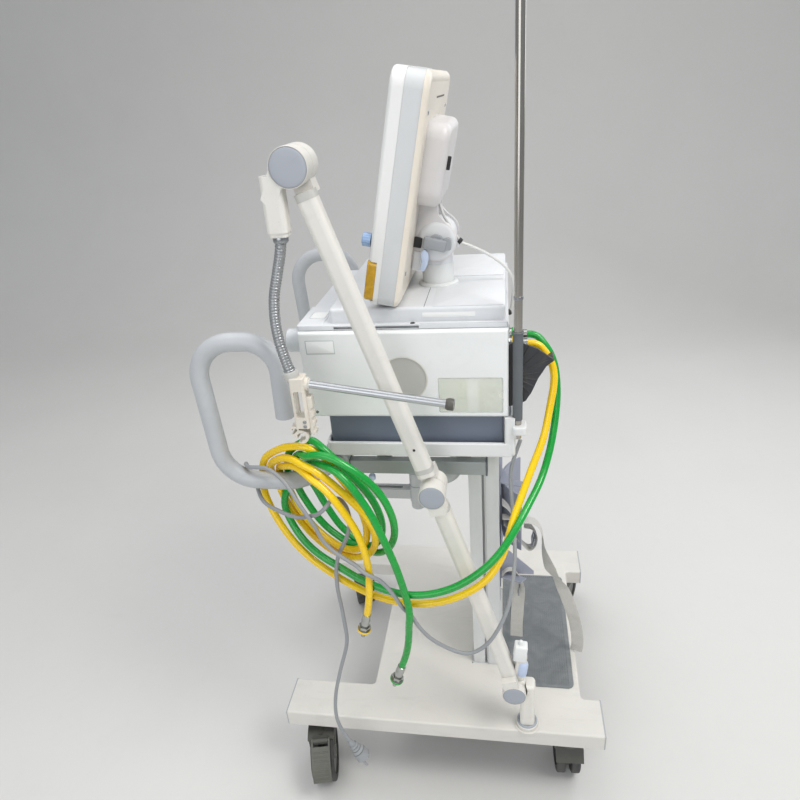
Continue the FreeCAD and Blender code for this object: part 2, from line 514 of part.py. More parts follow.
def column():
    plates = [box(-COL_X + 40, COL_X - 40, y, y + 3, FOOT_TOP, SHELF_Z0)
              for y in (COL_Y0 + 4, COL_Y1 - 7)]
    foot = round_box(-FOOT_X, FOOT_X, COL_Y0 - FOOT_LIP, COL_Y1 + FOOT_LIP,
                     FRAME_TOP, FOOT_TOP, corner=6)
    foot = foot.cut(Part.makeCompound([cylinder((x, y, 190), Z, BOLT_HOLE_R, 30)
                                       for x, y in COLUMN_BOLTS]))
    return Part.makeCompound([column_profile(1), column_profile(-1), *plates, foot])


def socket_bolt(x, y, seat, length, head_up):
    """hexagon socket bolt with the underside of its head at the seat"""
    head_h, hex_r = 6, 3.4
    if head_up:
        head_z, shank_z, socket_z = seat, seat - length, seat + head_h - 3.5
    else:
        head_z, shank_z, socket_z = seat - head_h, seat, seat - head_h - 0.5
    solid = cylinder((x, y, head_z), Z, 7.5, head_h)
    solid = solid.fuse(cylinder((x, y, shank_z), Z, BOLT_R, length))
    angles = [math.radians(60 * i) for i in range(6)]
    return solid.cut(prism([(x + hex_r * math.cos(angle), y + hex_r * math.sin(angle), socket_z)
                            for angle in angles], (0, 0, 4)))


def column_bolts():
    return Part.makeCompound(
        [socket_bolt(x, y, FOOT_TOP, 16, True) for x, y in COLUMN_BOLTS]
        + [socket_bolt(x, y, SHELF_Z0, 14, False) for x, y in SHELF_BOLTS])


# ================================================================ shelf
def shelf():
    tray = round_box(-SHELF_X, SHELF_X, SHELF_Y0, SHELF_Y1, SHELF_Z0, SHELF_Z1,
                     corner=12, low=3.0)
    tray = tray.cut(round_box(-SHELF_X + 8, SHELF_X - 8, SHELF_Y0 + 5, SHELF_Y1 - 7,
                              SHELF_Z0 + 6, SHELF_Z1 + 1, corner=5))
    tray = fillet(tray, lambda edge: flat_at(edge, SHELF_Z1), 2.0)
    for side in (1, -1):
        tray = tray.fuse(round_box(side * 191.5, side * (SHELF_X - 0.5), 136.5, SHELF_Y1 - 1,
                                   SHELF_Z0 + 6, UNIT_Z1, corner=3))
    # socket for the infusion pole
    ear = round_box(178, 212, 148, 174, 854, 870, corner=8, high=3, low=3)
    tray = tray.fuse(ear.fuse(box(192, 206, 140, 156, 846, 868)))
    tray = cut(tray, cylinder((POLE_X, POLE_Y, 842.0), Z, POLE_R + 0.1, 40),
               cylinder((POLE_X, POLE_Y, 878.9), Z, 9.0, 20), bolt_holes(SHELF_BOLTS),
               round_box(128, 152, 150, 160, 800, 840, corner=4))    # cable notch
    return tray.removeSplitter()


def side_rails():
    """equipment rails under both sides of the shelf, each on two brackets"""
    rails = []
    for side in (1, -1):
        rail = round_box(side * 172, side * 190, -150, 102, 759, 787, corner=1.5, axis="y")
        for y in (-90, 60):
            rail = rail.fuse(box(side * 160, side * 172, y - 9, y + 9, 764, 782))
            rail = rail.fuse(box(side * 152, side * 160, y - 14, y + 14, 764, SHELF_Z0))
        rails.append(rail.removeSplitter())
    return Part.makeCompound(rails)


# ================================================================ handles and infusion pole
HANDLE_R = 15.6
HANDLE_PATH = [(285, -224, 931), (285, -219, 1064), (285, -362, 1064), (285, -352, 806),
               (285, -218.5, 802), (190, -168, 789)]
HANDLE_BENDS = [52, 66, 62, 50]


def push_handles():
    """bent tubes, each with a bored clamp block under the shelf corner"""
    solids = []
    for side in (1, -1):
        path = [Vector(side * x, y, z) for x, y, z in HANDLE_PATH]
        grip = pipe(path, HANDLE_R, HANDLE_BENDS)
        grip = fillet(grip, lambda edge: (edge.CenterOfMass - path[0]).Length < 0.5
                      and edge.Length < 110, 5)
        clamp = round_box(side * 150, side * 200, -197, -151.5, 768, SHELF_Z0 - 0.02, corner=6)
        last_span = path[-1] - path[-2]
        length = last_span.Length
        last_span.normalize()
        clamp = clamp.cut(cylinder(path[-2], last_span, HANDLE_R + 0.05, length + 0.2))
        solids += [grip, max(clamp.Solids, key=lambda solid: solid.Volume)]
    return Part.makeCompound(solids)


def infusion_pole():
    pole = round_cylinder((POLE_X, POLE_Y, 842.2), Z, POLE_R, 1752 - 842.2, 1.0, 3.0)
    hooks = [pipe([(POLE_X + side * reach, POLE_Y, z)
                   for reach, z in ((95, 1775), (95, 1748), (70, 1725), (0, 1725))],
                  3.0, [10, 14]) for side in (-1, 1)]
    return fuse(pole, *hooks)


def pole_sleeve():
    return tube((POLE_X, POLE_Y, 879), Z, 8.6, POLE_R + 0.05, 160)


# ================================================================ ventilator body
def front_bores(*radii):
    return [cylinder((x, -230, z), Y, radius, 60) for (x, z), radius in zip(FRONT_PORTS, radii)]


def gas_bores(radius):
    return Part.makeCompound([cylinder((x, 120, GAS_Z), Y, radius, 30) for x in GAS_X])


def base_unit_housing():
    """open-topped box under the ventilator, with vents in its left side"""
    housing = round_box(-UNIT_X, UNIT_X, UNIT_Y0, UNIT_Y1, UNIT_Z0, UNIT_Z1, corner=5)
    wall = 3
    vents = [box(-UNIT_X - 1, -UNIT_X + 5, y, y + 3, 848, 872) for y in range(-120, 80, 8)]
    return cut(housing, box(-UNIT_X + wall, UNIT_X - wall, UNIT_Y0 + wall, UNIT_Y1 - wall,
                            UNIT_Z0 + wall, UNIT_Z1 + 1),
               bolt_holes(SHELF_BOLTS), Part.makeCompound(vents))


def ventilator_chassis():
    tray = box(-188, 188, -203, 137, 884.6, 1043).cut(box(-186, 186, -201, 135, 886.6, 1044))
    return cut(tray, gas_bores(13), *front_bores(24, 30, 24))


def side_panel():
    """right-hand panel with a round recess and a label recess"""
    panel = box(190, PANEL_X, PANEL_Y0, PANEL_Y1, PANEL_Z0, PANEL_Z1)
    panel = fillet(panel, centred_at("x", PANEL_X), 4.5)
    return cut(panel, box(189, 196.5, PANEL_Y0 + 4, PANEL_Y1 - 4, PANEL_Z0 + 4, PANEL_Z1 - 4),
               cylinder((PANEL_X - 2.0, -35, 958), X, 42, 5),
               round_box(PANEL_X - 1.6, PANEL_X + 1, 24, 134, 893.5, 960, corner=2.5, axis="x"))


def side_panels():
    return Part.makeCompound([side_panel(), side_panel().mirror(Vector(0, 0, 0), X)])


def front_panel():
    front_y = -216
    panel = box(-189.5, 189.5, front_y, -203.4, PANEL_Z0, PANEL_Z1)
    panel = fillet(panel, centred_at("y", front_y), 4)
    return cut(panel, box(-184, 184, -212, -200, 890, 1040), *front_bores(21.2, 29.2, 22.2))


def rear_panel():
    vents = [round_box(-150, -40, 130, 150, 905 + 9 * i, 909 + 9 * i, corner=1.8, axis="y")
             for i in range(10)]
    return cut(box(-189.5, 189.5, 137.2, PANEL_Y1, PANEL_Z0, 1044.8), gas_bores(12.2),
               Part.makeCompound(vents))


def top_cover():
    """base slab, raised centre and two blocks along the front"""
    low = 1045.2
    cover = fuse(round_box(-189, 189, -178, 142, low, STEP_Z, corner=3),
                 round_box(-176, 176, -160, 138, STEP_Z - 1, TOP_Z, corner=8, high=5),
                 round_box(84, 189, -215.5, -170, low, STEP_Z + 1.5, corner=4, high=2),
                 round_box(-189, 84, -215.5, -170, low, STEP_Z - 4.5, corner=2, high=1))
    for side in (1, -1):    # grip recesses
        cover = cover.cut(round_box(side * 180, side * 192, -150, -4, 1046.5, 1051,
                                    corner=1.5, axis="y"))
    return cut(cover, box(-172, 172, -156, 134, 1045, TOP_Z - 4),
               box(-200, 200, 4, 4.9, TOP_Z - 1.2, TOP_Z + 1),    # joint line across the top
               cylinder((POST_X, POST_Y, 1060), Z, 24.2, 30),
               round_box(118, 152, -203, -173, STEP_Z + 0.7, STEP_Z + 3, corner=3))


def breathing_ports():
    (x0, z0), (x1, z1), (x2, z2) = FRONT_PORTS
    plain = tube((x0, -246, z0), Y, 21.0, 15.5, 55)
    plain = fillet(plain, lambda edge: abs(edge.CenterOfMass.y + 246) < 1e-3
                   and edge.Length > 110, 2)
    return Part.makeCompound([
        plain,
        fuse(tube((x1, -252, z1), Y, 15, 11, 58), tube((x1, -222, z1), Y, 29.0, 11, 14)),
        fuse(tube((x2, -246, z2), Y, 11, 8, 52), tube((x2, -224, z2), Y, 22.0, 8, 16))])


def blower_and_mixer():
    blower = fuse(cylinder((-80, 0, 890), Z, 62, 46), cylinder((-80, 0, 936), Z, 26, 40),
                  round_box(-80, 2, 30, 60, 898, 928, corner=4, axis="x"))
    mixer = fuse(round_box(60, 150, 40, 108, 960, 1022, corner=4),
                 *[cylinder((x, 108, GAS_Z), Y, 8.0, 20) for x in GAS_X])
    return Part.makeCompound([blower, mixer])


def electronics():
    """control board with chips and a finned heat sink, battery and power supply"""
    board_top = 1001.6
    chips = [box(x, x + 22, y, y + 22, board_top, 1004)
             for x, y in ((-150, -160), (-110, -120), (-50, -150), (0, -110))]
    fins = [box(-90 + 4 * i, -88.6 + 4 * i, -172, -132, board_top, 1016) for i in range(8)]
    board = fuse(box(-170, 40, -180, -80, 1000, board_top),
                 box(-90, -60.6, -172, -132, board_top, 1003.6), *chips, *fins)
    battery = round_box(-150, -20, -150, -60, 818, 878, corner=6, high=2)
    battery = battery.fuse(box(-20, -12, -120, -90, 840, 860))
    supply = round_box(20, 150, 34, 124, 818, 870, corner=3)
    return Part.makeCompound([board, battery, supply])


# ================================================================ gas fittings, hoses, cable
INLET_STEPS = ((9.0, 14.2), (12.0, 6), (7.5, 8), (8.6, 18.9))    # radius, length


def hose_fitting(path):
    """stepped fitting with a hexagon nut at the free end of a hose"""
    end = Vector(*path[-1])
    axis = (end - Vector(*path[-2])).normalize()
    nut_start = end + axis * 13
    across = axis.cross(Vector(1, 0, 0.3)).normalize()
    other = axis.cross(across)
    angles = [math.radians(60 * i) for i in range(6)]
    nut = prism([nut_start + across * (11.0 * math.cos(angle)) + other * (11.0 * math.sin(angle))
                 for angle in angles], axis * 8)
    return fuse(*cylinder_stack(end, axis, ((8.0, 9), (6.9, 6))), nut,
                *cylinder_stack(nut_start + axis * 8, axis, ((12.0, 5), (7.5, 6), (4.0, 10))))


def gas_fittings():
    inlets = [fuse(*cylinder_stack(Vector(x, 128.6, GAS_Z), Y, INLET_STEPS)) for x in GAS_X]
    return Part.makeCompound(inlets + [hose_fitting(AIR_HOSE), hose_fitting(OXYGEN_HOSE)])


# y, z outline of the guard beside the gas inlets
GUARD = [(143.2, 1010), (150, 1016), (166, 1014), (190, 1004), (218, 983), (205, 972),
         (192, 950), (182, 925), (172, 908), (158, 900), (143.2, 898)]


def rear_guard():
    """fan-shaped plate with raised ribs and a floor along its lower edge"""
    guard_x = 179
    guard = prism_x(GUARD, guard_x, 4)
    edge_line = GUARD[4:10]
    floor = edge_line + [(y - 2.4, z + 2.4) for y, z in reversed(edge_line)]
    guard = guard.fuse(prism_x(floor, 150, guard_x - 150))
    for i in range(7):
        angle = math.radians(62 - 18 * i)
        rib = cylinder((183, 148.0, 955.0), Vector(0, math.cos(angle), math.sin(angle)), 1.1, 70)
        guard = guard.fuse(rib.common(prism_x(GUARD, guard_x, 6)))
    guard = guard.fuse(box(165, 183, 143.2, 147, 898, 1010))
    return guard.cut(cylinder((POLE_X, POLE_Y, 840), Z, 9.4, 220)).removeSplitter()


def oxygen_hose():
    return pipe(OXYGEN_HOSE, HOSE_R)


def air_hose():
    return pipe(AIR_HOSE, HOSE_R)


def power_cable():
    """cable with a plug of flared rings and two pins"""
    end, axis = Vector(*POWER_CABLE[-1]), unit(0.0, 0.55, -1.0)
    plug = Part.makeCone(4.6, 6.5, 14, end - axis * 3, axis)
    here = end + axis * 11
    rings = ((8.5, 9.5, 5), (9.5, 10.5, 5), (11.0, 13.5, 6), (14.0, 15.5, 18))
    for i, (start_r, end_r, length) in enumerate(rings):
        plug = plug.fuse(Part.makeCone(start_r, end_r, length, here, axis))
        here = here + axis * length
        if i < len(rings) - 1:
            plug = plug.fuse(cylinder(here, axis, 6.5, 1.6))
            here = here + axis * 1.6
    for side in (-1, 1):
        plug = plug.fuse(cylinder(here + X * (9.5 * side), axis, 2.4, 19))
    return fuse(pipe(POWER_CABLE, CABLE_R), plug)


# ================================================================ display post and swivel head
TILT_Y, TILT_Z, TILT_DEG = 20.0, 1163.0, 12.0       # tilt axis of the display
HUB_X0, HUB_X1 = POST_X - 34, POST_X + 34
HUB_W = HUB_X1 - HUB_X0


def display_post():
    return fuse(cylinder((POST_X, POST_Y, 1050), Z, 24, 28),
                cylinder((POST_X, POST_Y, TOP_Z), Z, POST_R, 40),
                cylinder((POST_X, POST_Y, 1118), Z, 12, 14),
                round_cylinder((POST_X, POST_Y, TOP_Z + 0.02), Z, POST_R + 4, 4, end_round=1.5))


def swivel_head():
    head = cylinder((POST_X, POST_Y, 1118.3), Z, POST_R, 18)
    head = head.fuse(box(POST_X - 22, POST_X + 22, POST_Y - 22, POST_Y + 22, 1130, TILT_Z))
    head = head.fuse(cylinder((HUB_X0, TILT_Y, TILT_Z), X, 31, HUB_W))
    head = cut(head, cylinder((HUB_X0 - 1, TILT_Y, TILT_Z), X, 6.08, HUB_W + 2),
               cylinder((POST_X, POST_Y, 1117), Z, 12.08, 15.3))
    return fuse(head, round_box(POST_X + 20, POST_X + 30, TILT_Y + 24, TILT_Y + 38,
                                1148, 1160, corner=2))


def release_lever():
    x = HUB_X1 + 11.2
    lever = round_cylinder((x, TILT_Y, TILT_Z), X, 13, 8, end_round=2)
    lever = lever.fuse(round_box(x, x + 7, TILT_Y + 2, TILT_Y + 22,
                                 TILT_Z - 6, TILT_Z + 5, corner=3, axis="x"))
    lever = lever.fuse(round_box(x, x + 12, TILT_Y + 14, TILT_Y + 26,
                                 TILT_Z - 14, TILT_Z + 6, corner=4, axis="x"))
    return lever.cut(cylinder((HUB_X1 + 10, TILT_Y, TILT_Z), X, 6.08, 4.8)).removeSplitter()


def display_cable():
    """from beside the swivel head, behind the post, to the top cover"""
    return pipe([(POST_X + 25, TILT_Y + 41, 1155), (52, 74, 1150), (44, 90, 1140),
                 (36, 112, 1124), (30, 132, 1108), (27, 146, 1090), (26, 152, 1068),
                 (26, 154, 1040), (26, 152, 1010)], 2.6)


# ================================================================ display
# Built upright, then tilted back about its lower front edge.
SCREEN_X = 380.0 / 2
FRONT, LOW = -94.0, 1089.0                  # y of the front face, z of the lower edge
HIGH = LOW + 357.0
MID_Y, COVER_Y, BACK_Y = FRONT + 22.0, FRONT + 50.0, FRONT + 58.0    # depth of each layer
GLASS_X, GLASS_Z0, GLASS_Z1 = 163, LOW + 66, HIGH - 24
KNOB_X, KNOB_Z = 176.5, LOW + 105.0


def tilt(shape):
    shape.rotate(Vector(0, FRONT, LOW), X, -TILT_DEG)
    return shape


def hub_upright():
    """y, z of the tilt axis as seen by the upright display"""
    angle = math.radians(TILT_DEG)
    dy, dz = TILT_Y - FRONT, TILT_Z - LOW
    return (FRONT + dy * math.cos(angle) - dz * math.sin(angle),
            LOW + dy * math.sin(angle) + dz * math.cos(angle))


HUB_Y, HUB_Z = hub_upright()


def outline(inset, low_inset, low_r, high_r, y):
    """rounded outline at depth y, inset from the sides and top, and from the lower edge"""
    x1, z0, z1 = SCREEN_X - inset, LOW + low_inset, HIGH - inset
    edges, start, last = [], None, None
    for x, z, radius, turn in ((x1 - low_r, z0 + low_r, low_r, -90),
                               (x1 - high_r, z1 - high_r, high_r, 0),
                               (-x1 + high_r, z1 - high_r, high_r, 90),
                               (-x1 + low_r, z0 + low_r, low_r, 180)):
        angles = [math.radians(turn + step) for step in (0, 45, 90)]
        arc = [Vector(x + radius * math.cos(angle), y, z + radius * math.sin(angle))
               for angle in angles]
        if last is None:
            start = arc[0]
        else:
            edges.append(Part.LineSegment(last, arc[0]).toShape())
        edges.append(Part.Arc(*arc).toShape())
        last = arc[2]
    edges.append(Part.LineSegment(last, start).toShape())
    return Part.Wire(edges)


def slab(inset, low_inset, low_r, high_r, y0, y1):
    face = Part.Face(outline(inset, low_inset, low_r, high_r, y0))
    return face.extrude(Vector(0, y1 - y0, 0))


def display_front_bezel():
    bezel = box(-SCREEN_X, SCREEN_X, FRONT, MID_Y, LOW, HIGH)
    bezel = fillet(bezel, lambda e: parallel(e, Y) and e.CenterOfMass.z > HIGH - 1, 27)
    bezel = fillet(bezel, lambda e: parallel(e, Y) and e.CenterOfMass.z < LOW + 1, 16)
    bezel = fillet(bezel, centred_at("y", FRONT), 7)
    chamfer = [(FRONT - 1, LOW - 1), (FRONT + 13, LOW - 1), (FRONT - 1, LOW + 30)]
    bezel = cut(bezel, prism_x(chamfer, -400, 800),
                round_box(-GLASS_X, GLASS_X, FRONT - 1, FRONT + 3.2, GLASS_Z0, GLASS_Z1,
                          corner=4, axis="y"),
                box(-158.4, 158.4, FRONT + 3, FRONT + 9, GLASS_Z0 + 4.6, GLASS_Z1 - 4.6),
                slab(5, 14, 10, 22, FRONT + 8, MID_Y + 1))
    # openings for the knob shaft, the key and the alarm lens
    bezel = cut(bezel, cylinder((KNOB_X, FRONT - 2, KNOB_Z), Y, 5.08, 20),
                round_box(60, 84, FRONT - 2, FRONT + 20, LOW + 38, LOW + 50,
                          corner=2.5, axis="y"),
                round_box(SCREEN_X - 26.3, SCREEN_X + 3, FRONT - 5, FRONT + 14.3,
                          LOW + 7.7, LOW + 76.3, corner=9.2, axis="y"))
    return tilt(bezel)


def display_screen():
    glass = round_box(-GLASS_X + 0.3, GLASS_X - 0.3, FRONT + 0.4, FRONT + 3.0,
                      GLASS_Z0 + 0.3, GLASS_Z1 - 0.3, corner=3.7, axis="y")
    return tilt(glass.fuse(box(-158, 158, FRONT + 2.9, FRONT + 7.9, GLASS_Z0 + 5, GLASS_Z1 - 5)))


def alarm_lens():
    lens = round_box(SCREEN_X - 26, SCREEN_X + 0.8, FRONT - 1.2, FRONT + 14,
                     LOW + 8, LOW + 76, corner=9, axis="y")
    return tilt(fillet(lens, centred_at("y", FRONT - 1.2), 3))


def display_mid_frame():
    band = slab(1.2, 1.2, 15, 26, MID_Y + 0.02, COVER_Y)
    return tilt(band.cut(slab(6, 6, 10, 21, MID_Y - 1, COVER_Y + 1)))


def display_rear_cover():
    outer = Part.makeLoft([outline(0.5, 1, 15, 26, COVER_Y + 0.02),
                           outline(3, 3.5, 15, 26, COVER_Y + 4.5),
                           outline(16, 16, 18, 28, BACK_Y)], True, False)
    inner = Part.makeLoft([outline(4.5, 5, 12, 23, COVER_Y - 1),
                           outline(18, 18, 15, 25, BACK_Y - 2.6)], True, False)
    # shallow relief for the tilt hub
    hub = cylinder((HUB_X0 - 0.6, HUB_Y, HUB_Z), X, 31.8, HUB_W + 1.2)
    return tilt(outer.cut(inner).cut(hub))


def display_rear_pod():
    """rear pod with two hinge ears and the hinge pin"""
    pod_y, ear_w = FRONT + 95, 10
    pod = round_box(-70, 130, BACK_Y + 0.02, pod_y, LOW + 158, LOW + 288, corner=26, axis="y")
    pod = fillet(pod, centred_at("y", pod_y), 14)
    ear_arm = [(BACK_Y + 0.02, LOW + 60), (BACK_Y + 0.02, LOW + 186), (FRONT + 82, LOW + 186),
               (FRONT + 92, LOW + 140), (HUB_Y + 24, HUB_Z + 22), (HUB_Y, HUB_Z - 10)]
    for x, outer_x in ((POST_X + 34.3, POST_X + 44.3), (POST_X - 44.3, POST_X - 44.3)):
        ear = cylinder((x, HUB_Y, HUB_Z), X, 35, ear_w)
        ear = fillet(ear, lambda edge: closed(edge)
                     and abs(edge.CenterOfMass.x - outer_x) < 1e-3, 3)
        pod = pod.fuse(ear.fuse(prism_x(ear_arm, x, ear_w)))
    pod = pod.fuse(cylinder((POST_X - 40, HUB_Y, HUB_Z), X, 6.0, 88))
    hub_space = cylinder((HUB_X0 - 0.25, HUB_Y, HUB_Z), X, 31.6, HUB_W + 0.5)
    hub_space = hub_space.cut(cylinder((HUB_X0 - 3, HUB_Y, HUB_Z), X, 6.0, 80))
    pod = cut(pod, hub_space, box(-150, 200, FRONT, BACK_Y + 0.02, LOW, HIGH))
    return tilt(pod.removeSplitter())


def display_knob():
    knob = round_cylinder((KNOB_X, FRONT - 15, KNOB_Z), Y, 11.0, 14.0, start_round=2.5)
    knob = knob.fuse(cylinder((KNOB_X, FRONT - 1, KNOB_Z), Y, 5.0, 12))
    for i in range(16):
        angle = math.radians(22.5 * i)
        knob = knob.cut(cylinder((KNOB_X + 11.6 * math.cos(angle), FRONT - 16,
                                  KNOB_Z + 11.6 * math.sin(angle)), Y, 1.1, 13))
    return tilt(knob)


def alarm_key():
    return tilt(round_box(60.3, 83.7, FRONT - 1.6, FRONT + 4, LOW + 38.3, LOW + 49.7,
                          corner=2.2, axis="y"))


# ================================================================ support arm
JOINT_LOW = Vector(ARM_X, 154.0, 310.0)
JOINT_MID = Vector(ARM_X, 14.0, 780.0)
JOINT_TOP = Vector(ARM_X, -155.0, 1320.0)
JOINT_R, TOP_JOINT_R = 23, 28.5
PIN_R, PIN_HOLE_R = 5.0, 5.08
NECK_X, NECK_Y = ARM_X + 14, JOINT_TOP.y - 30       # where the gooseneck leaves the arm head
GOOSENECK = [(NECK_X, NECK_Y, 1224.6), (NECK_X, NECK_Y, 1215), (NECK_X + 2, -189, 1198),
             (290, -196, 1172), (299, -203, 1140), (307, -204.5, 1108), (312, -202, 1078),
             (314, -197.0, 1050), (314.5, -192.5, 1030)]
NECK_END, NECK_AXIS = Vector(*GOOSENECK[-1]), unit(0, 0.2, -1)
ROD_START, ROD_AXIS = Vector(316, -175.5, 1006.2), unit(0, 1, -0.163)


def arm_post():
    _, y, z = JOINT_LOW
    left_x = ARM_X - 27.5
    post = round_cylinder((ARM_X, ARM_POST_Y, BASE_TOP), Z, 22, 9, end_round=2)
    post = post.fuse(cylinder((ARM_X, ARM_POST_Y, 184), Z, 12.0, 20))
    post = post.fuse(round_box(ARM_X - 15, ARM_X + 15, 166, 196, 208, 322, corner=8, high=6))
    post = post.fuse(cylinder((left_x, y, z), X, JOINT_R, 26.9))
    post = post.fuse(prism_x([(172, 286), (172, 322), (154, 333), (154, 287)], left_x, 26.9))
    return cut(post, cylinder((ARM_X - 8.3, y, z), X, PIN_HOLE_R, 12),
               cylinder((ARM_X - 0.4, y, z), X, 26, 60)).removeSplitter()


def arm_link(start, end, end_r, outboard):
    """arm section between two hinge axes.

    Outboard hubs fill the +X half of the joints and carry pins; the others
    fill the -X half and are bored for pins. Built along Z, then turned.
    """
    span = end - start
    length = span.Length
    bar_z0, bar_z1 = JOINT_R + 9, length - end_r - 9
    link = round_box(-14, 14, -15.5, 15.5, bar_z0, bar_z1, corner=9)
    x = 0.4 if outboard else -27.5
    for z, radius, neck_z0, neck_z1 in ((0, JOINT_R, 0, bar_z0 + 6),
                                        (length, end_r, bar_z1 - 6, length)):
        link = link.fuse(cylinder((x, 0, z), X, radius, 27.1))
        link = link.fuse(box(x, x + 27.1, -14.5, 14.5, neck_z0, neck_z1))
    for z in (0, length):
        if outboard:
            link = link.fuse(cylinder((-8.0, 0, z), X, PIN_R, 10))
        else:
            link = link.cut(cylinder((-8.3, 0, z), X, PIN_HOLE_R, 12))
    link = link.removeSplitter()
    link.rotate(Vector(0, 0, 0), X, math.degrees(math.atan2(-span.y, span.z)))
    link.translate(start)
    return link


def arm_lower_link():
    return arm_link(JOINT_LOW, JOINT_MID, JOINT_R, True)


def arm_upper_link():
    return arm_link(JOINT_MID, JOINT_TOP, TOP_JOINT_R, False)


def arm_head():
    _, y, z = JOINT_TOP
    left_x = NECK_X - 13.6
    hub = cylinder((ARM_X + 0.4, y, z), X, TOP_JOINT_R, 27.1)
    hub = hub.fuse(cylinder((ARM_X - 8, y, z), X, PIN_R, 10))
    block = round_box(left_x, NECK_X + 13.5, NECK_Y - 16, NECK_Y + 16, 1232, z - 10, corner=7)
    block = block.fuse(round_box(NECK_X - 12, NECK_X + 12, NECK_Y - 14.5, NECK_Y + 14.5,
                                 1225, 1233, corner=6, low=2))
    web = [(y - 30, z - 60), (y - 46, z - 40), (y - 28, z), (y, z)]
    block = block.fuse(prism_x(web, left_x, 27.1))
    return hub.fuse(block).cut(cylinder((NECK_X, NECK_Y, 1200), Z, 7.0, 40)).removeSplitter()


def gooseneck():
    return pipe(GOOSENECK, 8.3)


def tube_holder():
    """windowed block with two clip jaws below and a comb behind, bored for ferrule and rod"""
    block = cut(round_box(304, 328, -193, -169, 930, 1018, corner=4, high=2, low=2),
                round_box(302, 330, -188, -174, 950, 996, corner=3, axis="x"),
                round_box(309, 323, -200, -160, 952, 994, corner=3, axis="y"))
    large_jaw = cut(cylinder((306, -186, 915), X, 12, 20), cylinder((305, -186, 915), X, 7, 22),
                    box(305, 327, -200, -186, 905, 912))
    small_jaw = cut(cylinder((306, -196, 926), X, 8, 20), cylinder((305, -196, 926), X, 4.5, 22),
                    box(305, 327, -206, -197, 920, 926))
    comb = cut(round_box(308, 324, -171, -161, 918, 985, corner=3, high=2, low=2),
               *[cylinder((300, -159.5, z), X, 5.5, 30) for z in (930, 946, 962)])
    holder = fuse(block, large_jaw, small_jaw, comb,
                  cylinder(ROD_START + ROD_AXIS, ROD_AXIS, 10.5, 10))
    return cut(holder, cylinder(NECK_END - NECK_AXIS * 20, NECK_AXIS, 9.55, 60),
               cylinder(ROD_START - ROD_AXIS * 8, ROD_AXIS, 6.5, 60)).removeSplitter()


def ferrule_and_rod():
    ferrule = cylinder(NECK_END + NECK_AXIS * 0.45, NECK_AXIS, 9.4, 26)
    ferrule = fillet(ferrule, closed, 1.5)
    end = ROD_START + ROD_AXIS * 230
    rod = fuse(cylinder(ROD_START, ROD_AXIS, 6.4, 230), cylinder(end, ROD_AXIS, 9.0, 9),
               cylinder(end - ROD_AXIS * 5, ROD_AXIS, 7.6, 5))
    return Part.makeCompound([ferrule, rod])


# ================================================================ gas cylinder holder and straps
HOLDER_Z = (690, 448)
CRADLE_X, CRADLE_Y = 6, COL_Y1 + 96
# x and distance behind the column of a shelf plate's outline
HOLDER_PLATE = [(-100, 2), (-112, 44), (-86, 56), (-66, 22), (-20, 6),
                (60, 6), (98, 22), (112, 56), (126, 44), (112, 2)]
# distance behind the column and z of the gusset under the lower plate
GUSSET = [(1, 451), (1, 486), (12, 508), (20, 508), (72, 456), (72, 448), (10, 448)]
# y, z along the two straps
LONG_STRAP = [(130, 592), (150, 600), (190, 604), (215, 595), (230, 570), (237, 500),
              (240, 420), (258, 340), (290, 280), (312, 235), (318, 190), (319, 150)]
SHORT_STRAP = [(131, 430), (150, 436), (164, 420), (170, 370), (168, 300), (158, 266),
               (146, 262), (138, 276), (135, 340)]


def cylinder_holder():
    stages = []
    for z in HOLDER_Z:
        plate = prism([(x, COL_Y1 + out, z) for x, out in HOLDER_PLATE], (0, 0, 3.0))
        back = box(-90, 100, COL_Y1, COL_Y1 + 3, z - 40, z + 40)
        back = fillet(back, lambda edge: parallel(edge, Y), 8)
        for x in (-72, 72):
            back = back.cut(round_box(x - 4, x + 4, COL_Y1 - 1, COL_Y1 + 5, z - 34, z - 6,
                                      corner=3, axis="y"))
        stages.append(plate.fuse(back))
    holder = fuse(*stages[:1], stages[1], box(-14, 26, COL_Y1, COL_Y1 + 3, 448, 690),
                  prism_x([(COL_Y1 + out, z) for out, z in GUSSET], 94, 3),
                  box(80, 97, COL_Y1 + 1, COL_Y1 + 3, 448, 486))
    z0, z1 = 500, 640
    cradle = cylinder((CRADLE_X, CRADLE_Y, z0), Z, 92, z1 - z0)
    cradle = cradle.cut(cylinder((CRADLE_X, CRADLE_Y, z0 - 1), Z, 88, z1 - z0 + 2))
    cradle = cradle.common(box(-70, 82, COL_Y1 + 3.4, COL_Y1 + 46, z0 - 1, z1 + 1))
    cradle = fuse(cradle, box(-10, 22, COL_Y1 + 3.2, COL_Y1 + 6, z0 + 20, z1 - 20))
    return Part.makeCompound([holder, cradle])


def strap(path, x0, x1):
    """flat strap along a (y, z) path"""
    half = 3.0 / 2
    left, right = [], []
    for i, (y, z) in enumerate(path):
        before, after = path[max(i - 1, 0)], path[min(i + 1, len(path) - 1)]
        dy, dz = after[0] - before[0], after[1] - before[1]
        length = math.hypot(dy, dz)
        off_y, off_z = -dz / length * half, dy / length * half
        left.append((y + off_y, z + off_z))
        right.append((y - off_y, z - off_z))
    return prism_x(left + right[::-1], x0, x1 - x0)


def cylinder_straps():
    cradle_space = tube((CRADLE_X, CRADLE_Y, 400), Z, 94, 86, 300)
    cradle_space = cradle_space.common(box(-80, 92, COL_Y1, COL_Y1 + 50, 400, 700))
    pieces = strap(LONG_STRAP, 40, 78).cut(cradle_space).Solids
    # the cradle may split the strap: keep the larger end
    long_strap = max((pieces[0], pieces[-1]), key=lambda solid: solid.Volume)
    return Part.makeCompound([long_strap, strap(SHORT_STRAP, 78, 112)])


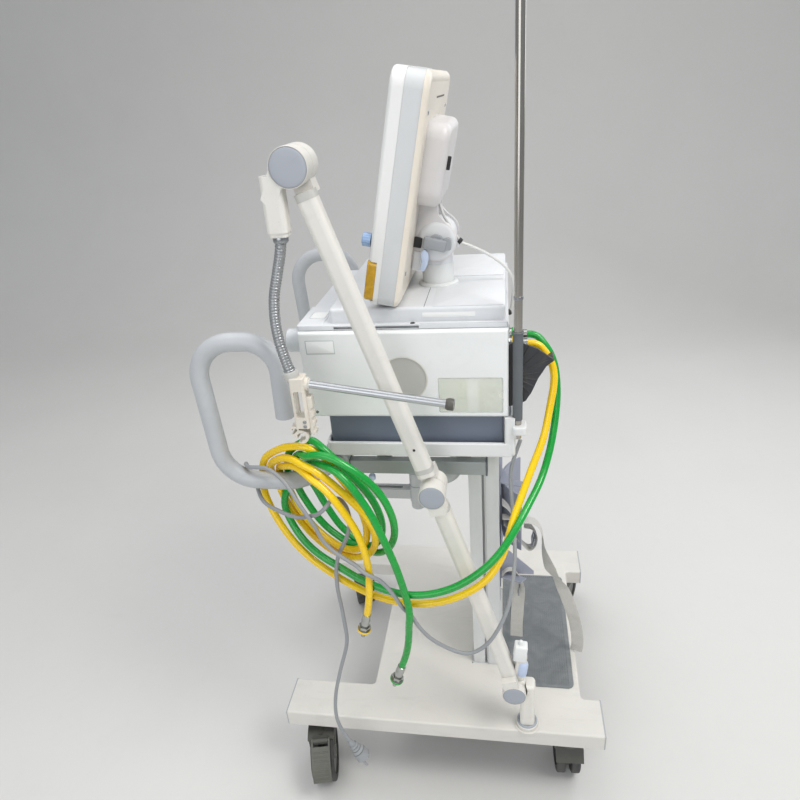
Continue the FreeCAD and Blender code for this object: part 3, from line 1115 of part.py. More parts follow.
# ================================================================ humidifier swing arm
SWING_X, SWING_Y, SWING_Z = 84.0, -44.0, 668.0


def accessory_bracket():
    """bent bar hung from a pad under the shelf, with a pivot boss at its front end"""
    bar_r, bar_y, bar_z = 13.0, 40, SWING_Z + 14
    bar = pipe([(SWING_X, bar_y, SHELF_Z0 - 1), (SWING_X, bar_y, bar_z),
                (SWING_X, SWING_Y + 6, bar_z)], bar_r, [34])
    pad = cut(round_box(SWING_X - 26, SWING_X + 26, 14, 64.5, SHELF_Z0 - 9, SHELF_Z0 - 0.02,
                        corner=6),
              cylinder((SWING_X, bar_y, SHELF_Z0 - 20), Z, bar_r + 0.05, 19.1),
              cylinder((60, 20, SHELF_Z0 - 20), Z, 11.0, 30))
    boss = round_cylinder((SWING_X, SWING_Y, SWING_Z - 1), Z, 15.0, 31, end_round=2.5)
    boss = boss.cut(cylinder((SWING_X, SWING_Y + 5.9, bar_z), Y, bar_r + 0.05, 40))
    boss = fuse(boss, cylinder((SWING_X, SWING_Y, SWING_Z - 58), Z, 5.0, 60),
                round_cylinder((SWING_X, SWING_Y, SWING_Z - 58), Z, 14.0, 18, start_round=2.5))
    return Part.makeCompound([bar, pad, boss])


def accessory_link():
    pin_hole = cylinder((SWING_X, SWING_Y, SWING_Z - 60), Z, 5.1, 80)
    hub = cylinder((SWING_X, SWING_Y, SWING_Z - 39.6), Z, 16, 38.2).cut(pin_hole)
    bar = round_box(SWING_X - 11, SWING_X + 11, SWING_Y - 150, SWING_Y - 8,
                    SWING_Z - 32, SWING_Z - 10, corner=9)
    bar = bar.cut(round_box(SWING_X - 4, SWING_X + 4, SWING_Y - 138, SWING_Y - 30,
                            SWING_Z - 18, SWING_Z - 5, corner=3.5))
    return fuse(hub.fuse(bar).cut(pin_hole),
                round_cylinder((SWING_X, SWING_Y - 139, SWING_Z - 10.2), Z, 11, 16, end_round=2))


# ================================================================ export
def cylinder_mat():
    """grooved mat on the base, where a gas cylinder stands"""
    mat = round_box(-178, 177, 131, 285, BASE_TOP, BASE_TOP + 3.0, corner=14, high=1.0)
    grooves = [137 + 5.2 * i for i in range(27)]
    return mat.cut(Part.makeCompound([box(-172, 171, y, y + 2.6, BASE_TOP + 1.6, BASE_TOP + 4)
                                      for y in grooves]))


for place, (x, y, heading) in CASTERS.items():
    for part, build in (("wheels", caster_wheels), ("housing", caster_housing),
                        ("pedal", caster_pedal)):
        shape = build()
        shape.rotate(Vector(0, 0, 0), Z, heading)
        shape.translate(Vector(x, y, 0))
        export("caster_%s_%s" % (place, part), shape)

# each function is named after the piece it builds
for build in (base_cover, beam_end_caps, base_chassis, cylinder_mat, column, column_bolts,
              shelf, side_rails, push_handles, infusion_pole, pole_sleeve, base_unit_housing,
              ventilator_chassis, side_panels, front_panel, rear_panel, top_cover,
              breathing_ports, blower_and_mixer, electronics, gas_fittings, rear_guard,
              oxygen_hose, air_hose, power_cable, display_post, swivel_head, release_lever,
              display_cable, display_front_bezel, display_screen, alarm_lens,
              display_mid_frame, display_rear_cover, display_rear_pod, display_knob,
              alarm_key, arm_post, arm_lower_link, arm_upper_link, arm_head, gooseneck,
              tube_holder, ferrule_and_rod, cylinder_holder, cylinder_straps,
              accessory_bracket, accessory_link):
    export(build.__name__, build())
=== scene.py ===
# A ventilator on a four-wheeled trolley, with a leaning display and a jointed tube arm.
# The CAD pieces get their materials, and modelled details are added to them.
# +Z is up, the front faces -Y, the "near" side is +X and the "far" side -X.
# Geometry is in millimetres and make() or block() turns it into metres. Materials, lights
# and the camera are in metres.
import math

import bmesh
import bpy
from mathutils import Matrix, Vector


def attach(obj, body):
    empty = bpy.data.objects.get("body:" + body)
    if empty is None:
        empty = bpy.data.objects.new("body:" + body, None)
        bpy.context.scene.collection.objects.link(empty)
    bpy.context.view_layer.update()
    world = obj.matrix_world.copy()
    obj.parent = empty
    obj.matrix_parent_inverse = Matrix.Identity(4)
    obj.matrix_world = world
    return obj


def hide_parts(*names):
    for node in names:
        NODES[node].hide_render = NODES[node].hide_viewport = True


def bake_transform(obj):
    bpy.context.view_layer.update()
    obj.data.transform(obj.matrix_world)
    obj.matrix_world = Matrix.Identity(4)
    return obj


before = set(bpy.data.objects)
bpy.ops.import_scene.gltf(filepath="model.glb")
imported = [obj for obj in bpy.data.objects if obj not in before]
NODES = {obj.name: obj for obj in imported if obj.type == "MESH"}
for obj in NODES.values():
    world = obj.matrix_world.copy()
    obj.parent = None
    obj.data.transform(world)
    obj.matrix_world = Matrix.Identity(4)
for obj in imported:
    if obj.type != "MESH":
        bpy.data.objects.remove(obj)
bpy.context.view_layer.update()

MM = 0.001

NEAR = (1, 0, 0)
FRONT = (0, -1, 0)
REAR = (0, 1, 0)
UP = (0, 0, 1)
SIDES = (("near", 1), ("far", -1))

# casters: x, y of the swivel axis and heading in degrees
CASTERS = {
    "front_right": (240, -278, 12),
    "rear_right": (240, 272, 182),
    "front_left": (-240, -278, 200),
    "rear_left": (-240, 272, 150),
}
CASTER_TRAIL = 38
AXLE_HEIGHT = 62.5


def caster_axle(x, y, heading):
    """centre of a caster's axle and the axle's direction"""
    angle = math.radians(heading)
    c, s = math.cos(angle), math.sin(angle)
    return (x + CASTER_TRAIL * c, y + CASTER_TRAIL * s, AXLE_HEIGHT), (-s, c, 0.0)


# ------------------------------------------------------------------ shader building
MATERIALS = {}


def linear(colour):
    """linear RGBA of an sRGB hex colour"""
    channels = []
    for i in (1, 3, 5):
        x = int(colour[i:i + 2], 16) / 255
        channels.append(x / 12.92 if x <= 0.04045 else ((x + 0.055) / 1.055) ** 2.4)
    return (*channels, 1.0)


class Shader:
    """material "m_<name>": node helpers around one Principled surface"""

    def __init__(self, name):
        material = bpy.data.materials.new("m_" + name)
        material.use_nodes = True
        self.tree = material.node_tree
        self.tree.nodes.clear()
        output = self.node("OutputMaterial")
        self.principled = self.node("BsdfPrincipled")
        self.feed(output.inputs[0], self.principled.outputs[0])
        self.texture = self.node("TexCoord")
        MATERIALS[name] = material

    def node(self, kind, **settings):
        node = self.tree.nodes.new("ShaderNode" + kind)
        for key, value in settings.items():
            setattr(node, key, value)
        return node

    def feed(self, socket, value):
        """link a socket, or set it to a number, a tuple or a hex colour"""
        if isinstance(value, bpy.types.NodeSocket):
            self.tree.links.new(value, socket)
        else:
            socket.default_value = linear(value) if isinstance(value, str) else value

    def surface(self, inputs):
        for name, value in inputs.items():
            self.feed(self.principled.inputs[name], value)

    def coords(self, stretch=None, which="Object"):
        if stretch is None:
            return self.texture.outputs[which]
        mapping = self.node("Mapping")
        mapping.inputs["Scale"].default_value = stretch
        self.feed(mapping.inputs["Vector"], self.texture.outputs[which])
        return mapping.outputs[0]

    def noise(self, scale, detail=4.0, rough=0.55, distort=0.0, stretch=None):
        node = self.node("TexNoise")
        node.inputs["Scale"].default_value = scale
        node.inputs["Detail"].default_value = detail
        node.inputs["Roughness"].default_value = rough
        node.inputs["Distortion"].default_value = distort
        self.feed(node.inputs["Vector"], self.coords(stretch))
        return node.outputs["Fac"]

    def ramp(self, factor, *stops):
        """colour ramp; stops are (position, colour)"""
        node = self.node("ValToRGB")
        elements = node.color_ramp.elements
        rgba = [(p, linear(c) if isinstance(c, str) else c) for p, c in stops]
        elements[0].position, elements[0].color = rgba[0]
        elements[1].position, elements[1].color = rgba[-1]
        for position, colour in rgba[1:-1]:
            elements.new(position).color = colour
        self.feed(node.inputs[0], factor)
        return node.outputs[0]

    def remap(self, value, span, to):
        """carry the range span onto the range to, clamped"""
        node = self.node("MapRange")
        for i, limit in enumerate((*span, *to)):
            node.inputs[1 + i].default_value = limit
        self.feed(node.inputs[0], value)
        return node.outputs[0]

    def mix(self, factor, a, b):
        node = self.node("Mix", data_type="RGBA", blend_type="MIX")
        for i, value in ((0, factor), (6, a), (7, b)):
            self.feed(node.inputs[i], value)
        return node.outputs[2]

    def overlay(self, base, pattern, span, amount, colour):
        """lay a colour over base where pattern rises through span"""
        return self.mix(self.remap(pattern, span, to=(0.0, amount)), base, colour)

    def math(self, operation, a, b=0.0):
        node = self.node("Math", operation=operation)
        self.feed(node.inputs[0], a)
        self.feed(node.inputs[1], b)
        return node.outputs[0]

    def vector_math(self, operation, *values):
        node = self.node("VectorMath", operation=operation)
        for i, value in enumerate(values):
            self.feed(node.inputs[i], value)
        return node.outputs["Value" if operation == "LENGTH" else "Vector"]

    def axes(self, vector):
        node = self.node("SeparateXYZ")
        self.feed(node.inputs[0], vector)
        return node.outputs

    def bump(self, height, strength, distance, normal=None):
        node = self.node("Bump")
        node.inputs["Strength"].default_value = strength
        node.inputs["Distance"].default_value = distance
        self.feed(node.inputs["Height"], height)
        if normal is not None:
            self.feed(node.inputs["Normal"], normal)
        return node.outputs[0]


def shaded(rgb, factor):
    """colour scaled by a factor and kept within 0 to 1"""
    return tuple(max(0, min(1, c * factor)) for c in rgb[:3]) + (1,)


# ------------------------------------------------------------------ kinds of material
def coated(name, colour, rough=0.42, metal=0.0, var=0.035, var_scale=5.0, grain=1400.0,
           grain_bump=0.12, grime=0.06, grime_colour="#8E8778", speck=0.0, scuff=0.0,
           painted_corner_shade=0.25, coat=0.0, stretch=None, tint=None):
    """moulded or coated finish: mottle (var), grime, scuffs, specks, painted corner shade and
    grain
    """
    s = Shader(name)
    mottle = s.noise(scale=var_scale, detail=5.0, rough=0.6, distort=0.4)
    base = linear(colour)
    col = s.ramp(mottle, (0.28, shaded(base, 1 - var * 2.2)), (0.72, shaded(base, 1 + var)))
    if tint:
        patches = s.noise(scale=2.1, detail=2.0, rough=0.5)
        col = s.overlay(col, patches, span=(0.4, 0.65), amount=1.0,
                        colour=s.mix(0.5, col, tint))
    smears = s.noise(scale=22.0, detail=9.0, rough=0.62, distort=1.2, stretch=stretch)
    col = s.overlay(col, smears, span=(0.53, 0.78), amount=grime, colour=grime_colour)
    if scuff > 0:
        marks = s.noise(scale=60.0, detail=6.0, rough=0.7, distort=2.5, stretch=(1.0, 1.0, 6.0))
        col = s.overlay(col, marks, span=(0.62, 0.70), amount=scuff, colour="#6F6C66")
    if speck > 0:
        dots = s.noise(scale=520.0, detail=2.0, rough=0.5)
        col = s.overlay(col, dots, span=(0.735, 0.76), amount=speck, colour="#4A4742")
    # painted shade: ambient occlusion darkens corners, creases and gaps between parts towards
    # #5E5A52
    if painted_corner_shade > 0:
        occlusion = s.node("AmbientOcclusion", samples=4)
        occlusion.inputs["Distance"].default_value = 0.012
        painted_shade = s.remap(occlusion.outputs["AO"], span=(0.25, 0.9), to=(painted_corner_shade, 0.0))
        col = s.mix(painted_shade, col, "#5E5A52")
    fine = s.noise(scale=grain, detail=2.0, rough=0.5)
    wave = s.noise(scale=11.0, detail=2.0, rough=0.5)
    grain_normal = s.bump(fine, strength=grain_bump, distance=0.00025)
    s.surface({
        "Base Color": col,
        "Roughness": s.remap(mottle, span=(0.25, 0.75),
                             to=(max(0.03, rough - 0.07), min(1.0, rough + 0.07))),
        "Metallic": metal,
        "Coat Weight": coat,
        "Coat Roughness": 0.12,
        "Normal": s.bump(wave, strength=0.05, distance=0.004, normal=grain_normal),
    })


def brushed(name, colour, rough=0.3, stretch=(300.0, 300.0, 6.0), grime=0.05, contrast=0.12,
            metal=1.0):
    """metal with fine lines; stretch is smallest along the lines"""
    s = Shader(name)
    base = linear(colour)
    lines = s.noise(scale=7.0, detail=6.0, rough=0.65, stretch=stretch)
    col = s.ramp(lines, (0.3, shaded(base, 1 - contrast * 1.6)),
                 (0.7, shaded(base, 1 + contrast)))
    smears = s.noise(scale=30.0, detail=8.0, rough=0.6, distort=1.0)
    s.surface({
        "Base Color": s.overlay(col, smears, span=(0.55, 0.8), amount=grime, colour="#5A554C"),
        "Metallic": metal,
        "Roughness": s.remap(lines, span=(0.25, 0.75), to=(rough - 0.06, rough + 0.12)),
        "Normal": s.bump(lines, strength=0.10, distance=0.0002),
    })


def hose(name, colour, dark):
    """glossy extruded hose with dust and small dark specks"""
    s = Shader(name)
    rough = 0.22
    mottle = s.noise(scale=9.0, detail=4.0, rough=0.6, distort=0.3)
    dust = s.noise(scale=45.0, detail=8.0, rough=0.65, distort=1.0)
    dots = s.noise(scale=260.0, detail=2.0, rough=0.5)
    col = s.ramp(mottle, (0.25, dark), (0.7, colour))
    col = s.overlay(col, dust, span=(0.6, 0.85), amount=0.07, colour="#D8D2C0")
    col = s.overlay(col, dots, span=(0.76, 0.80), amount=0.18, colour="#3A3A34")
    fine = s.noise(scale=700.0, detail=2.0)
    s.surface({
        "Base Color": col,
        "Roughness": s.remap(dust, span=(0.3, 0.75), to=(rough - 0.05, rough + 0.16)),
        "Coat Weight": 0.35,
        "Coat Roughness": 0.1,
        "Subsurface Weight": 0.04,
        "Subsurface Radius": (0.01, 0.01, 0.01),
        "Normal": s.bump(fine, strength=0.06, distance=0.0002),
    })


def webbing(name, colour, dark):
    """woven tape: diagonal twill laid out on the strip's own UVs, which are in mm"""
    s = Shader(name)
    thread_pitch = 1.7
    u, v, _ = s.axes(s.coords((1.0, 1.0, 1.0), "UV"))
    waves = []
    for diagonal in ("ADD", "SUBTRACT"):
        phase = s.math("MULTIPLY", s.math(diagonal, u, v), 2 * math.pi / thread_pitch)
        waves.append(s.math("SINE", phase))
    weave = s.remap(s.math("MULTIPLY", *waves), span=(-1.0, 1.0), to=(0.0, 1.0))
    smears = s.noise(scale=30.0, detail=8.0, rough=0.65, distort=1.0)
    col = s.ramp(weave, (0.1, dark), (0.75, colour))
    s.surface({
        "Base Color": s.overlay(col, smears, span=(0.45, 0.75), amount=0.22, colour="#A29C8E"),
        "Roughness": 0.78,
        "Sheen Weight": 0.3,
        "Sheen Roughness": 0.5,
        "Normal": s.bump(weave, strength=0.45, distance=0.0005),
    })


def wheel(name, centre, axle):
    """one wheel pair: dark tyre outside, lighter hub inside, by distance from the axle"""
    s = Shader(name)
    hub_edge = (0.0478, 0.0484)
    offset = s.vector_math("SUBTRACT", s.coords(), centre)
    radius = s.vector_math("LENGTH", s.vector_math("CROSS_PRODUCT", offset, axle))
    mottle = s.noise(scale=40.0, detail=8.0, rough=0.6, distort=0.8)
    tyre = s.ramp(mottle, (0.3, "#3D3E3E"), (0.75, "#5B5A57"))
    hub = s.ramp(mottle, (0.3, "#696A69"), (0.75, "#8A8A86"))
    s.surface({
        "Base Color": s.mix(s.remap(radius, span=hub_edge, to=(0.0, 1.0)), hub, tyre),
        "Roughness": s.remap(radius, span=hub_edge, to=(0.42, 0.72)),
        "Normal": s.bump(s.noise(scale=900.0, detail=2.0), strength=0.12, distance=0.0003),
    })


def banded_card(name):
    """blank card: soft cream and white bands along Y"""
    s = Shader(name)
    along = s.remap(s.axes(s.coords())[1], span=(0.044, 0.135), to=(0.0, 1.0))
    col = s.ramp(along, (0.0, "#E6E8DA"), (0.30, "#E2E6D2"), (0.36, "#F4F4EE"),
                 (0.50, "#F3F3EC"), (0.56, "#E3E4D3"), (1.0, "#DDE0D2"))
    blotch = s.noise(scale=40.0, detail=6.0, rough=0.6)
    s.surface({
        "Base Color": s.overlay(col, blotch, span=(0.5, 0.8), amount=0.12, colour="#BDB9A6"),
        "Roughness": 0.6,
        "Normal": s.bump(blotch, strength=0.08, distance=0.0006),
    })


def clear_film(name):
    s = Shader(name)
    waves = s.noise(scale=35.0, detail=6.0, rough=0.6)
    s.surface({
        "Base Color": s.ramp(waves, (0.3, "#E9EDE6"), (0.8, "#F6F8F4")),
        "Roughness": 0.18,
        "Alpha": 0.28,
        "Normal": s.bump(waves, strength=0.12, distance=0.0008),
    })


def dark_screen(name):
    """switched-off display: near-black panel under glass with a faint smear"""
    s = Shader(name)
    smear = s.noise(scale=14.0, detail=6.0, rough=0.6, distort=1.5)
    fine = s.noise(scale=2400.0, detail=1.0)
    s.surface({
        "Base Color": s.ramp(smear, (0.3, "#14181D"), (0.75, "#20262D")),
        "Roughness": s.remap(smear, span=(0.3, 0.75), to=(0.10, 0.26)),
        "Coat Weight": 0.6,
        "Coat Roughness": 0.08,
        "Normal": s.bump(fine, strength=0.03, distance=0.0001),
    })


def amber_lens(name):
    s = Shader(name)
    cloud = s.noise(scale=120.0, detail=6.0, rough=0.6, distort=0.5)
    s.surface({
        "Base Color": s.ramp(cloud, (0.25, "#B98A10"), (0.7, "#DDB02A")),
        "Roughness": 0.22,
        "Subsurface Weight": 0.35,
        "Subsurface Radius": (0.02, 0.012, 0.003),
        "Coat Weight": 0.4,
        "Normal": s.bump(cloud, strength=0.25, distance=0.001),
    })


def streaked_mat(name):
    """grey mat with pale streaks running across X"""
    s = Shader(name)
    mottle = s.noise(scale=26.0, detail=9.0, rough=0.62, distort=1.0)
    streaks = s.noise(scale=5.0, detail=6.0, rough=0.6, stretch=(60.0, 1.0, 1.0))
    col = s.ramp(mottle, (0.3, "#74797C"), (0.75, "#8C9092"))
    s.surface({
        "Base Color": s.overlay(col, streaks, span=(0.5, 0.8), amount=0.3, colour="#A2A39F"),
        "Roughness": 0.62,
        "Normal": s.bump(s.noise(scale=800.0, detail=2.0), strength=0.2, distance=0.0003),
    })


# ------------------------------------------------------------------ the materials
# coated materials carry painted corner shade, 0.25 unless set
coated("white_panel", "#F1F3F2", rough=0.33, var=0.02, grime=0.05, speck=0.15, coat=0.08)
coated("top_cover", "#E4E6E9", rough=0.36, var=0.025, grime=0.08, speck=0.2)
coated("base_cover", "#E2DFD8", rough=0.38, var=0.03, grime=0.16, grime_colour="#9A9588",
       scuff=0.12, speck=0.35, coat=0.06, stretch=(1.0, 0.25, 1.0))
coated("end_cap", "#B4B7BC", rough=0.5)
coated("chassis", "#4D5054", rough=0.55, grime=0.2)
streaked_mat("mat")
coated("column", "#E1E3E3", rough=0.34, metal=0.15, var=0.025, grime=0.1, speck=0.3,
       stretch=(1.0, 1.0, 0.25))
brushed("bolt", "#A9ACB0", rough=0.32)
coated("shelf", "#E7E8E8", rough=0.36, var=0.02, grime=0.08, speck=0.25)
coated("rail", "#A6ACAC", rough=0.38, metal=0.35, var=0.04, var_scale=3.0, grime=0.1)
coated("handle", "#BFC2C5", rough=0.40, grime=0.12, scuff=0.10, speck=0.3, grain=900.0,
       grain_bump=0.18)
brushed("pole", "#B7B3AC", rough=0.17, stretch=(260.0, 260.0, 3.0), grime=0.10, contrast=0.10)
coated("sleeve", "#63686C", rough=0.5, var=0.05, grime=0.12)
coated("base_unit", "#6E7787", rough=0.44, var=0.05, var_scale=3.5, grime=0.10, speck=0.2,
       grain_bump=0.2)
coated("board", "#2E6B3C", rough=0.4, var=0.1, var_scale=60.0)
brushed("sheet", "#BFC2C4", rough=0.4, stretch=(4.0, 200.0, 200.0))
coated("port", "#D3D7DA", rough=0.4)
coated("blower", "#2B2D30", rough=0.5)
brushed("fitting", "#B9BAB6", rough=0.18, stretch=(200.0, 200.0, 200.0), grime=0.25)
coated("guard", "#37383C", rough=0.48, var=0.08, grime=0.25, grime_colour="#77736B",
       scuff=0.3, grain=700.0, grain_bump=0.25)
hose("hose_green", "#05A63C", dark="#039433")
hose("hose_yellow", "#FFD803", dark="#F7C702")
coated("cable", "#9C9FA2", rough=0.45, var=0.05, grime=0.15, speck=0.2)
coated("cable_white", "#DCDCD9", var=0.04, grime=0.12)
coated("post", "#E2E4E3", rough=0.35, grime=0.07, speck=0.2)
coated("swivel", "#E4E6E8", rough=0.36, grime=0.08)
coated("bezel", "#ECECEA", rough=0.34, var=0.02, grime=0.05, speck=0.12, coat=0.06)
coated("band", "#D3D5D6", var=0.02)
coated("rear_cover", "#EBE5DB", rough=0.36, var=0.025, tint="#E9DCC4")
coated("pod", "#DCDBDE", rough=0.38, var=0.03, grime=0.08, tint="#EBE2D4")
dark_screen("screen")
amber_lens("lens")
coated("knob", "#9DB9DF", rough=0.35, var=0.04, grime=0.05)
coated("key", "#D5D8DA", rough=0.5)
coated("lever", "#A3A7AC", rough=0.45)
coated("arm", "#ECE9E1", rough=0.34, var=0.025, grime=0.10, scuff=0.06, speck=0.35,
       coat=0.06, tint="#DAD8D4")
coated("holder", "#E3DCCF", var=0.03, grime=0.10)
coated("cap_grey", "#ABB0B9", var=0.03)
brushed("rod", "#C0C2C5", rough=0.28, stretch=(300.0, 6.0, 300.0), grime=0.06, contrast=0.10)
coated("rod_cap", "#5B5954", rough=0.45, var=0.05, grime=0.15)
coated("holder_plate", "#A9ADBD", rough=0.40, metal=0.3, var=0.04, grime=0.12)
webbing("webbing", "#DEDCD6", dark="#B9B6AE")
webbing("webbing_dark", "#C9C8C4", dark="#9A9892")
coated("bracket", "#C9CCCE", rough=0.36, metal=0.25, grime=0.12)
coated("caster", "#5B5B55", rough=0.55, var=0.06, grime=0.25, grime_colour="#8A867A",
       grain=800.0, grain_bump=0.3)
coated("pedal", "#66675F", rough=0.52, var=0.06, grime=0.25, grime_colour="#928D7E",
       grain=800.0, grain_bump=0.3)
coated("dark", "#1B1C1F", rough=0.55, grime=0.1)
# the discs get a lighter painted corner shade of 0.1
coated("disc", "#C6C5C0", rough=0.36, var=0.02, grime=0.08, painted_corner_shade=0.1)
coated("disc_rim", "#DDDBD2", rough=0.36, var=0.02)
coated("label", "#F2F3F2", rough=0.5, var=0.015, grime=0.04, grain=500.0, grain_bump=0.1)
coated("label_border", "#C4CBCB", rough=0.5)
banded_card("card")
clear_film("film")
coated("pale_blue", "#C9D8F2", rough=0.35, var=0.04)
brushed("steel", "#A7AAAD", rough=0.25)
brushed("gooseneck", "#A6A8AA", rough=0.30, stretch=(80.0, 80.0, 80.0), grime=0.18,
        contrast=0.10, metal=0.75)

# CAD node: material
NODE_MATERIALS = {
    "base_cover": "base_cover", "base_chassis": "chassis", "beam_end_caps": "end_cap",
    "cylinder_mat": "mat", "column": "column", "column_bolts": "bolt", "shelf": "shelf",
    "side_rails": "rail", "push_handles": "handle", "infusion_pole": "pole",
    "pole_sleeve": "sleeve", "base_unit_housing": "base_unit", "electronics": "board",
    "ventilator_chassis": "sheet", "side_panels": "white_panel",
    "front_panel": "white_panel", "rear_panel": "white_panel", "top_cover": "top_cover",
    "breathing_ports": "port", "blower_and_mixer": "blower", "gas_fittings": "fitting",
    "rear_guard": "guard", "oxygen_hose": "hose_green", "air_hose": "hose_yellow",
    "power_cable": "cable", "display_post": "post", "display_cable": "cable_white",
    "cylinder_holder": "holder_plate", "cylinder_straps": "webbing",
    "accessory_bracket": "bracket", "swivel_head": "swivel",
    "display_front_bezel": "bezel", "display_screen": "screen", "alarm_lens": "lens",
    "display_mid_frame": "band", "display_rear_cover": "rear_cover",
    "display_rear_pod": "pod", "display_knob": "knob", "alarm_key": "key",
    "release_lever": "lever", "arm_post": "arm", "arm_lower_link": "arm",
    "arm_upper_link": "arm", "arm_head": "arm", "gooseneck": "gooseneck",
    "tube_holder": "holder", "ferrule_and_rod": "rod", "accessory_link": "bracket",
}
for corner, placing in CASTERS.items():
    axle_centre, axle = caster_axle(*placing)
    wheel("wheel_" + corner, tuple(v * MM for v in axle_centre), axle)
    NODE_MATERIALS[f"caster_{corner}_wheels"] = "wheel_" + corner
    NODE_MATERIALS[f"caster_{corner}_housing"] = "caster"
    NODE_MATERIALS[f"caster_{corner}_pedal"] = "pedal"

for node_name, node_object in NODES.items():
    slots = node_object.data.materials
    material = MATERIALS[NODE_MATERIALS[node_name]]
    if not slots:
        slots.append(material)
    for i in range(len(slots)):
        slots[i] = material


# ------------------------------------------------------------------ mesh helpers
def add_object(name, mesh, material, body, angle, uvs=None):
    """shade a mesh smooth up to an angle, link it and let it ride on a body"""
    for polygon in mesh.polygons:
        polygon.use_smooth = True
    mesh.set_sharp_from_angle(angle=math.radians(angle))
    if uvs is not None:
        layer = mesh.uv_layers.new(name="UVMap")
        for loop in mesh.loops:
            layer.data[loop.index].uv = uvs[loop.vertex_index]
    mesh.materials.append(MATERIALS[material])
    obj = bpy.data.objects.new(name, mesh)
    bpy.context.scene.collection.objects.link(obj)
    if body:
        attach(obj, body)
    return obj


def make(name, verts, faces, material, body, angle, uvs=None):
    """object from points in mm; meshes with UVs keep coincident points apart"""
    mesh = bpy.data.meshes.new(name)
    mesh.from_pydata([(v[0] * MM, v[1] * MM, v[2] * MM) for v in verts], [], faces)
    mesh.update()
    bm = bmesh.new()
    bm.from_mesh(mesh)
    if uvs is None:
        bmesh.ops.remove_doubles(bm, verts=bm.verts, dist=1e-7)
    bmesh.ops.recalc_face_normals(bm, faces=bm.faces)
    bm.to_mesh(mesh)
    bm.free()
    return add_object(name, mesh, material, body, angle, uvs)


def loft(name, rings, material, body, angle, closed=False, uvs=None):
    """skin over equal rings of points, with end faces unless the rings close into a loop"""
    count = len(rings[0])
    rows = [tuple(range(i * count, (i + 1) * count)) for i in range(len(rings))]
    following = rows[1:] + rows[:1] if closed else rows[1:]
    faces = []
    for a, b in zip(rows, following):
        for i in range(count):
            j = (i + 1) % count
            faces.append((a[i], a[j], b[j], b[i]))
    if not closed:
        faces += [rows[0][::-1], rows[-1]]
    verts = [point for ring in rings for point in ring]
    return make(name, verts, faces, material, body, angle, uvs)


def basis(axis):
    """two unit vectors across an axis, and the axis itself"""
    w = Vector(axis).normalized()
    hint = Vector(UP) if abs(w.z) < 0.9 else Vector(REAR)
    u = (hint - w * hint.dot(w)).normalized()
    return u, w.cross(u), w


def lathe(name, profile, origin, axis, material, body="trolley", seg=56):
    """revolved profile of (radius, height along the axis); it may start on the axis"""
    u, v, w = basis(axis)
    origin = Vector(origin)
    verts, faces, rings = [], [], []
    for radius, height in profile:
        if radius < 1e-6:
            rings.append([len(verts)])
            verts.append(origin + w * height)
            continue
        rings.append(range(len(verts), len(verts) + seg))
        for i in range(seg):
            a = 2 * math.pi * i / seg
            verts.append(origin + w * height
                         + u * (radius * math.cos(a)) + v * (radius * math.sin(a)))
    for a, b in zip(rings, rings[1:]):
        for i in range(seg):
            j = (i + 1) % seg
            faces.append((a[0], b[i], b[j]) if len(a) == 1 else (a[i], b[i], b[j], a[j]))
    if len(rings[0]) > 1:
        faces.append(tuple(rings[0][::-1]))
    faces.append(tuple(rings[-1]))
    return make(name, verts, faces, material, body, angle=35)


def rounded_rectangle(width, height, radius):
    """centred outline with seven points to a corner"""
    radius = min(radius, width / 2 - 0.01, height / 2 - 0.01)
    x, y = width / 2 - radius, height / 2 - radius
    points = []
    for cx, cy, start in ((x, y, 0), (-x, y, 90), (-x, -y, 180), (x, -y, 270)):
        for i in range(7):
            a = math.radians(start + 90 * i / 6)
            points.append((cx + radius * math.cos(a), cy + radius * math.sin(a)))
    return points


def plate(name, size, origin, axis, material, body="trolley", corner=1.0, bevel=0.1, up=UP,
          outline=None, dish=0.0):
    """flat plate standing on origin with rounded rims

    size is the width, the height along up and the thickness along axis;
    outline replaces the rounded rectangle and dish sinks the face inside the rim
    """
    width, height, thick = size
    out = Vector(axis).normalized()
    up = Vector(up)
    up = (up - out * up.dot(out)).normalized()
    across = up.cross(out)
    origin = Vector(origin)
    # (inset, height above the origin)
    steps = [(bevel, 0.0), (0.0, bevel), (0.0, thick - bevel),
             (bevel * 0.3, thick - bevel * 0.3), (bevel, thick)]
    if dish > 0:
        steps += [(bevel + 2.0, thick), (bevel + 3.0, thick - dish)]
    rings = []
    for inset, z in steps:
        inner_width, inner_height = width - 2 * inset, height - 2 * inset
        if outline is None:
            points = rounded_rectangle(inner_width, inner_height, max(0.2, corner - inset))
        else:
            sx, sy = inner_width / width, inner_height / height
            points = [(x * sx, y * sy) for x, y in outline]
        rings.append([origin + across * x + up * y + out * z for x, y in points])
    return loft(name, rings, material, body, angle=30)


def block(name, low, high, bevel, material, body="trolley", tilt=0.0):
    """box with rounded edges between two corners, turned about X by tilt degrees"""
    mesh = bpy.data.meshes.new(name)
    centre = [(low[i] + high[i]) / 2 * MM for i in range(3)]
    size = [(high[i] - low[i]) * MM for i in range(3)]
    bm = bmesh.new()
    bmesh.ops.create_cube(bm, size=1.0)
    for v in bm.verts:
        v.co = Vector((v.co.x * size[0], v.co.y * size[1], v.co.z * size[2]))
    bmesh.ops.bevel(bm, geom=list(bm.edges), offset=bevel * MM, segments=3, profile=0.5,
                    affect="EDGES", clamp_overlap=True)
    bmesh.ops.rotate(bm, verts=bm.verts, cent=(0, 0, 0),
                     matrix=Matrix.Rotation(math.radians(tilt), 3, "X"))
    bmesh.ops.translate(bm, verts=bm.verts, vec=centre)
    bm.to_mesh(mesh)
    bm.free()
    return add_object(name, mesh, material, body, angle=32)


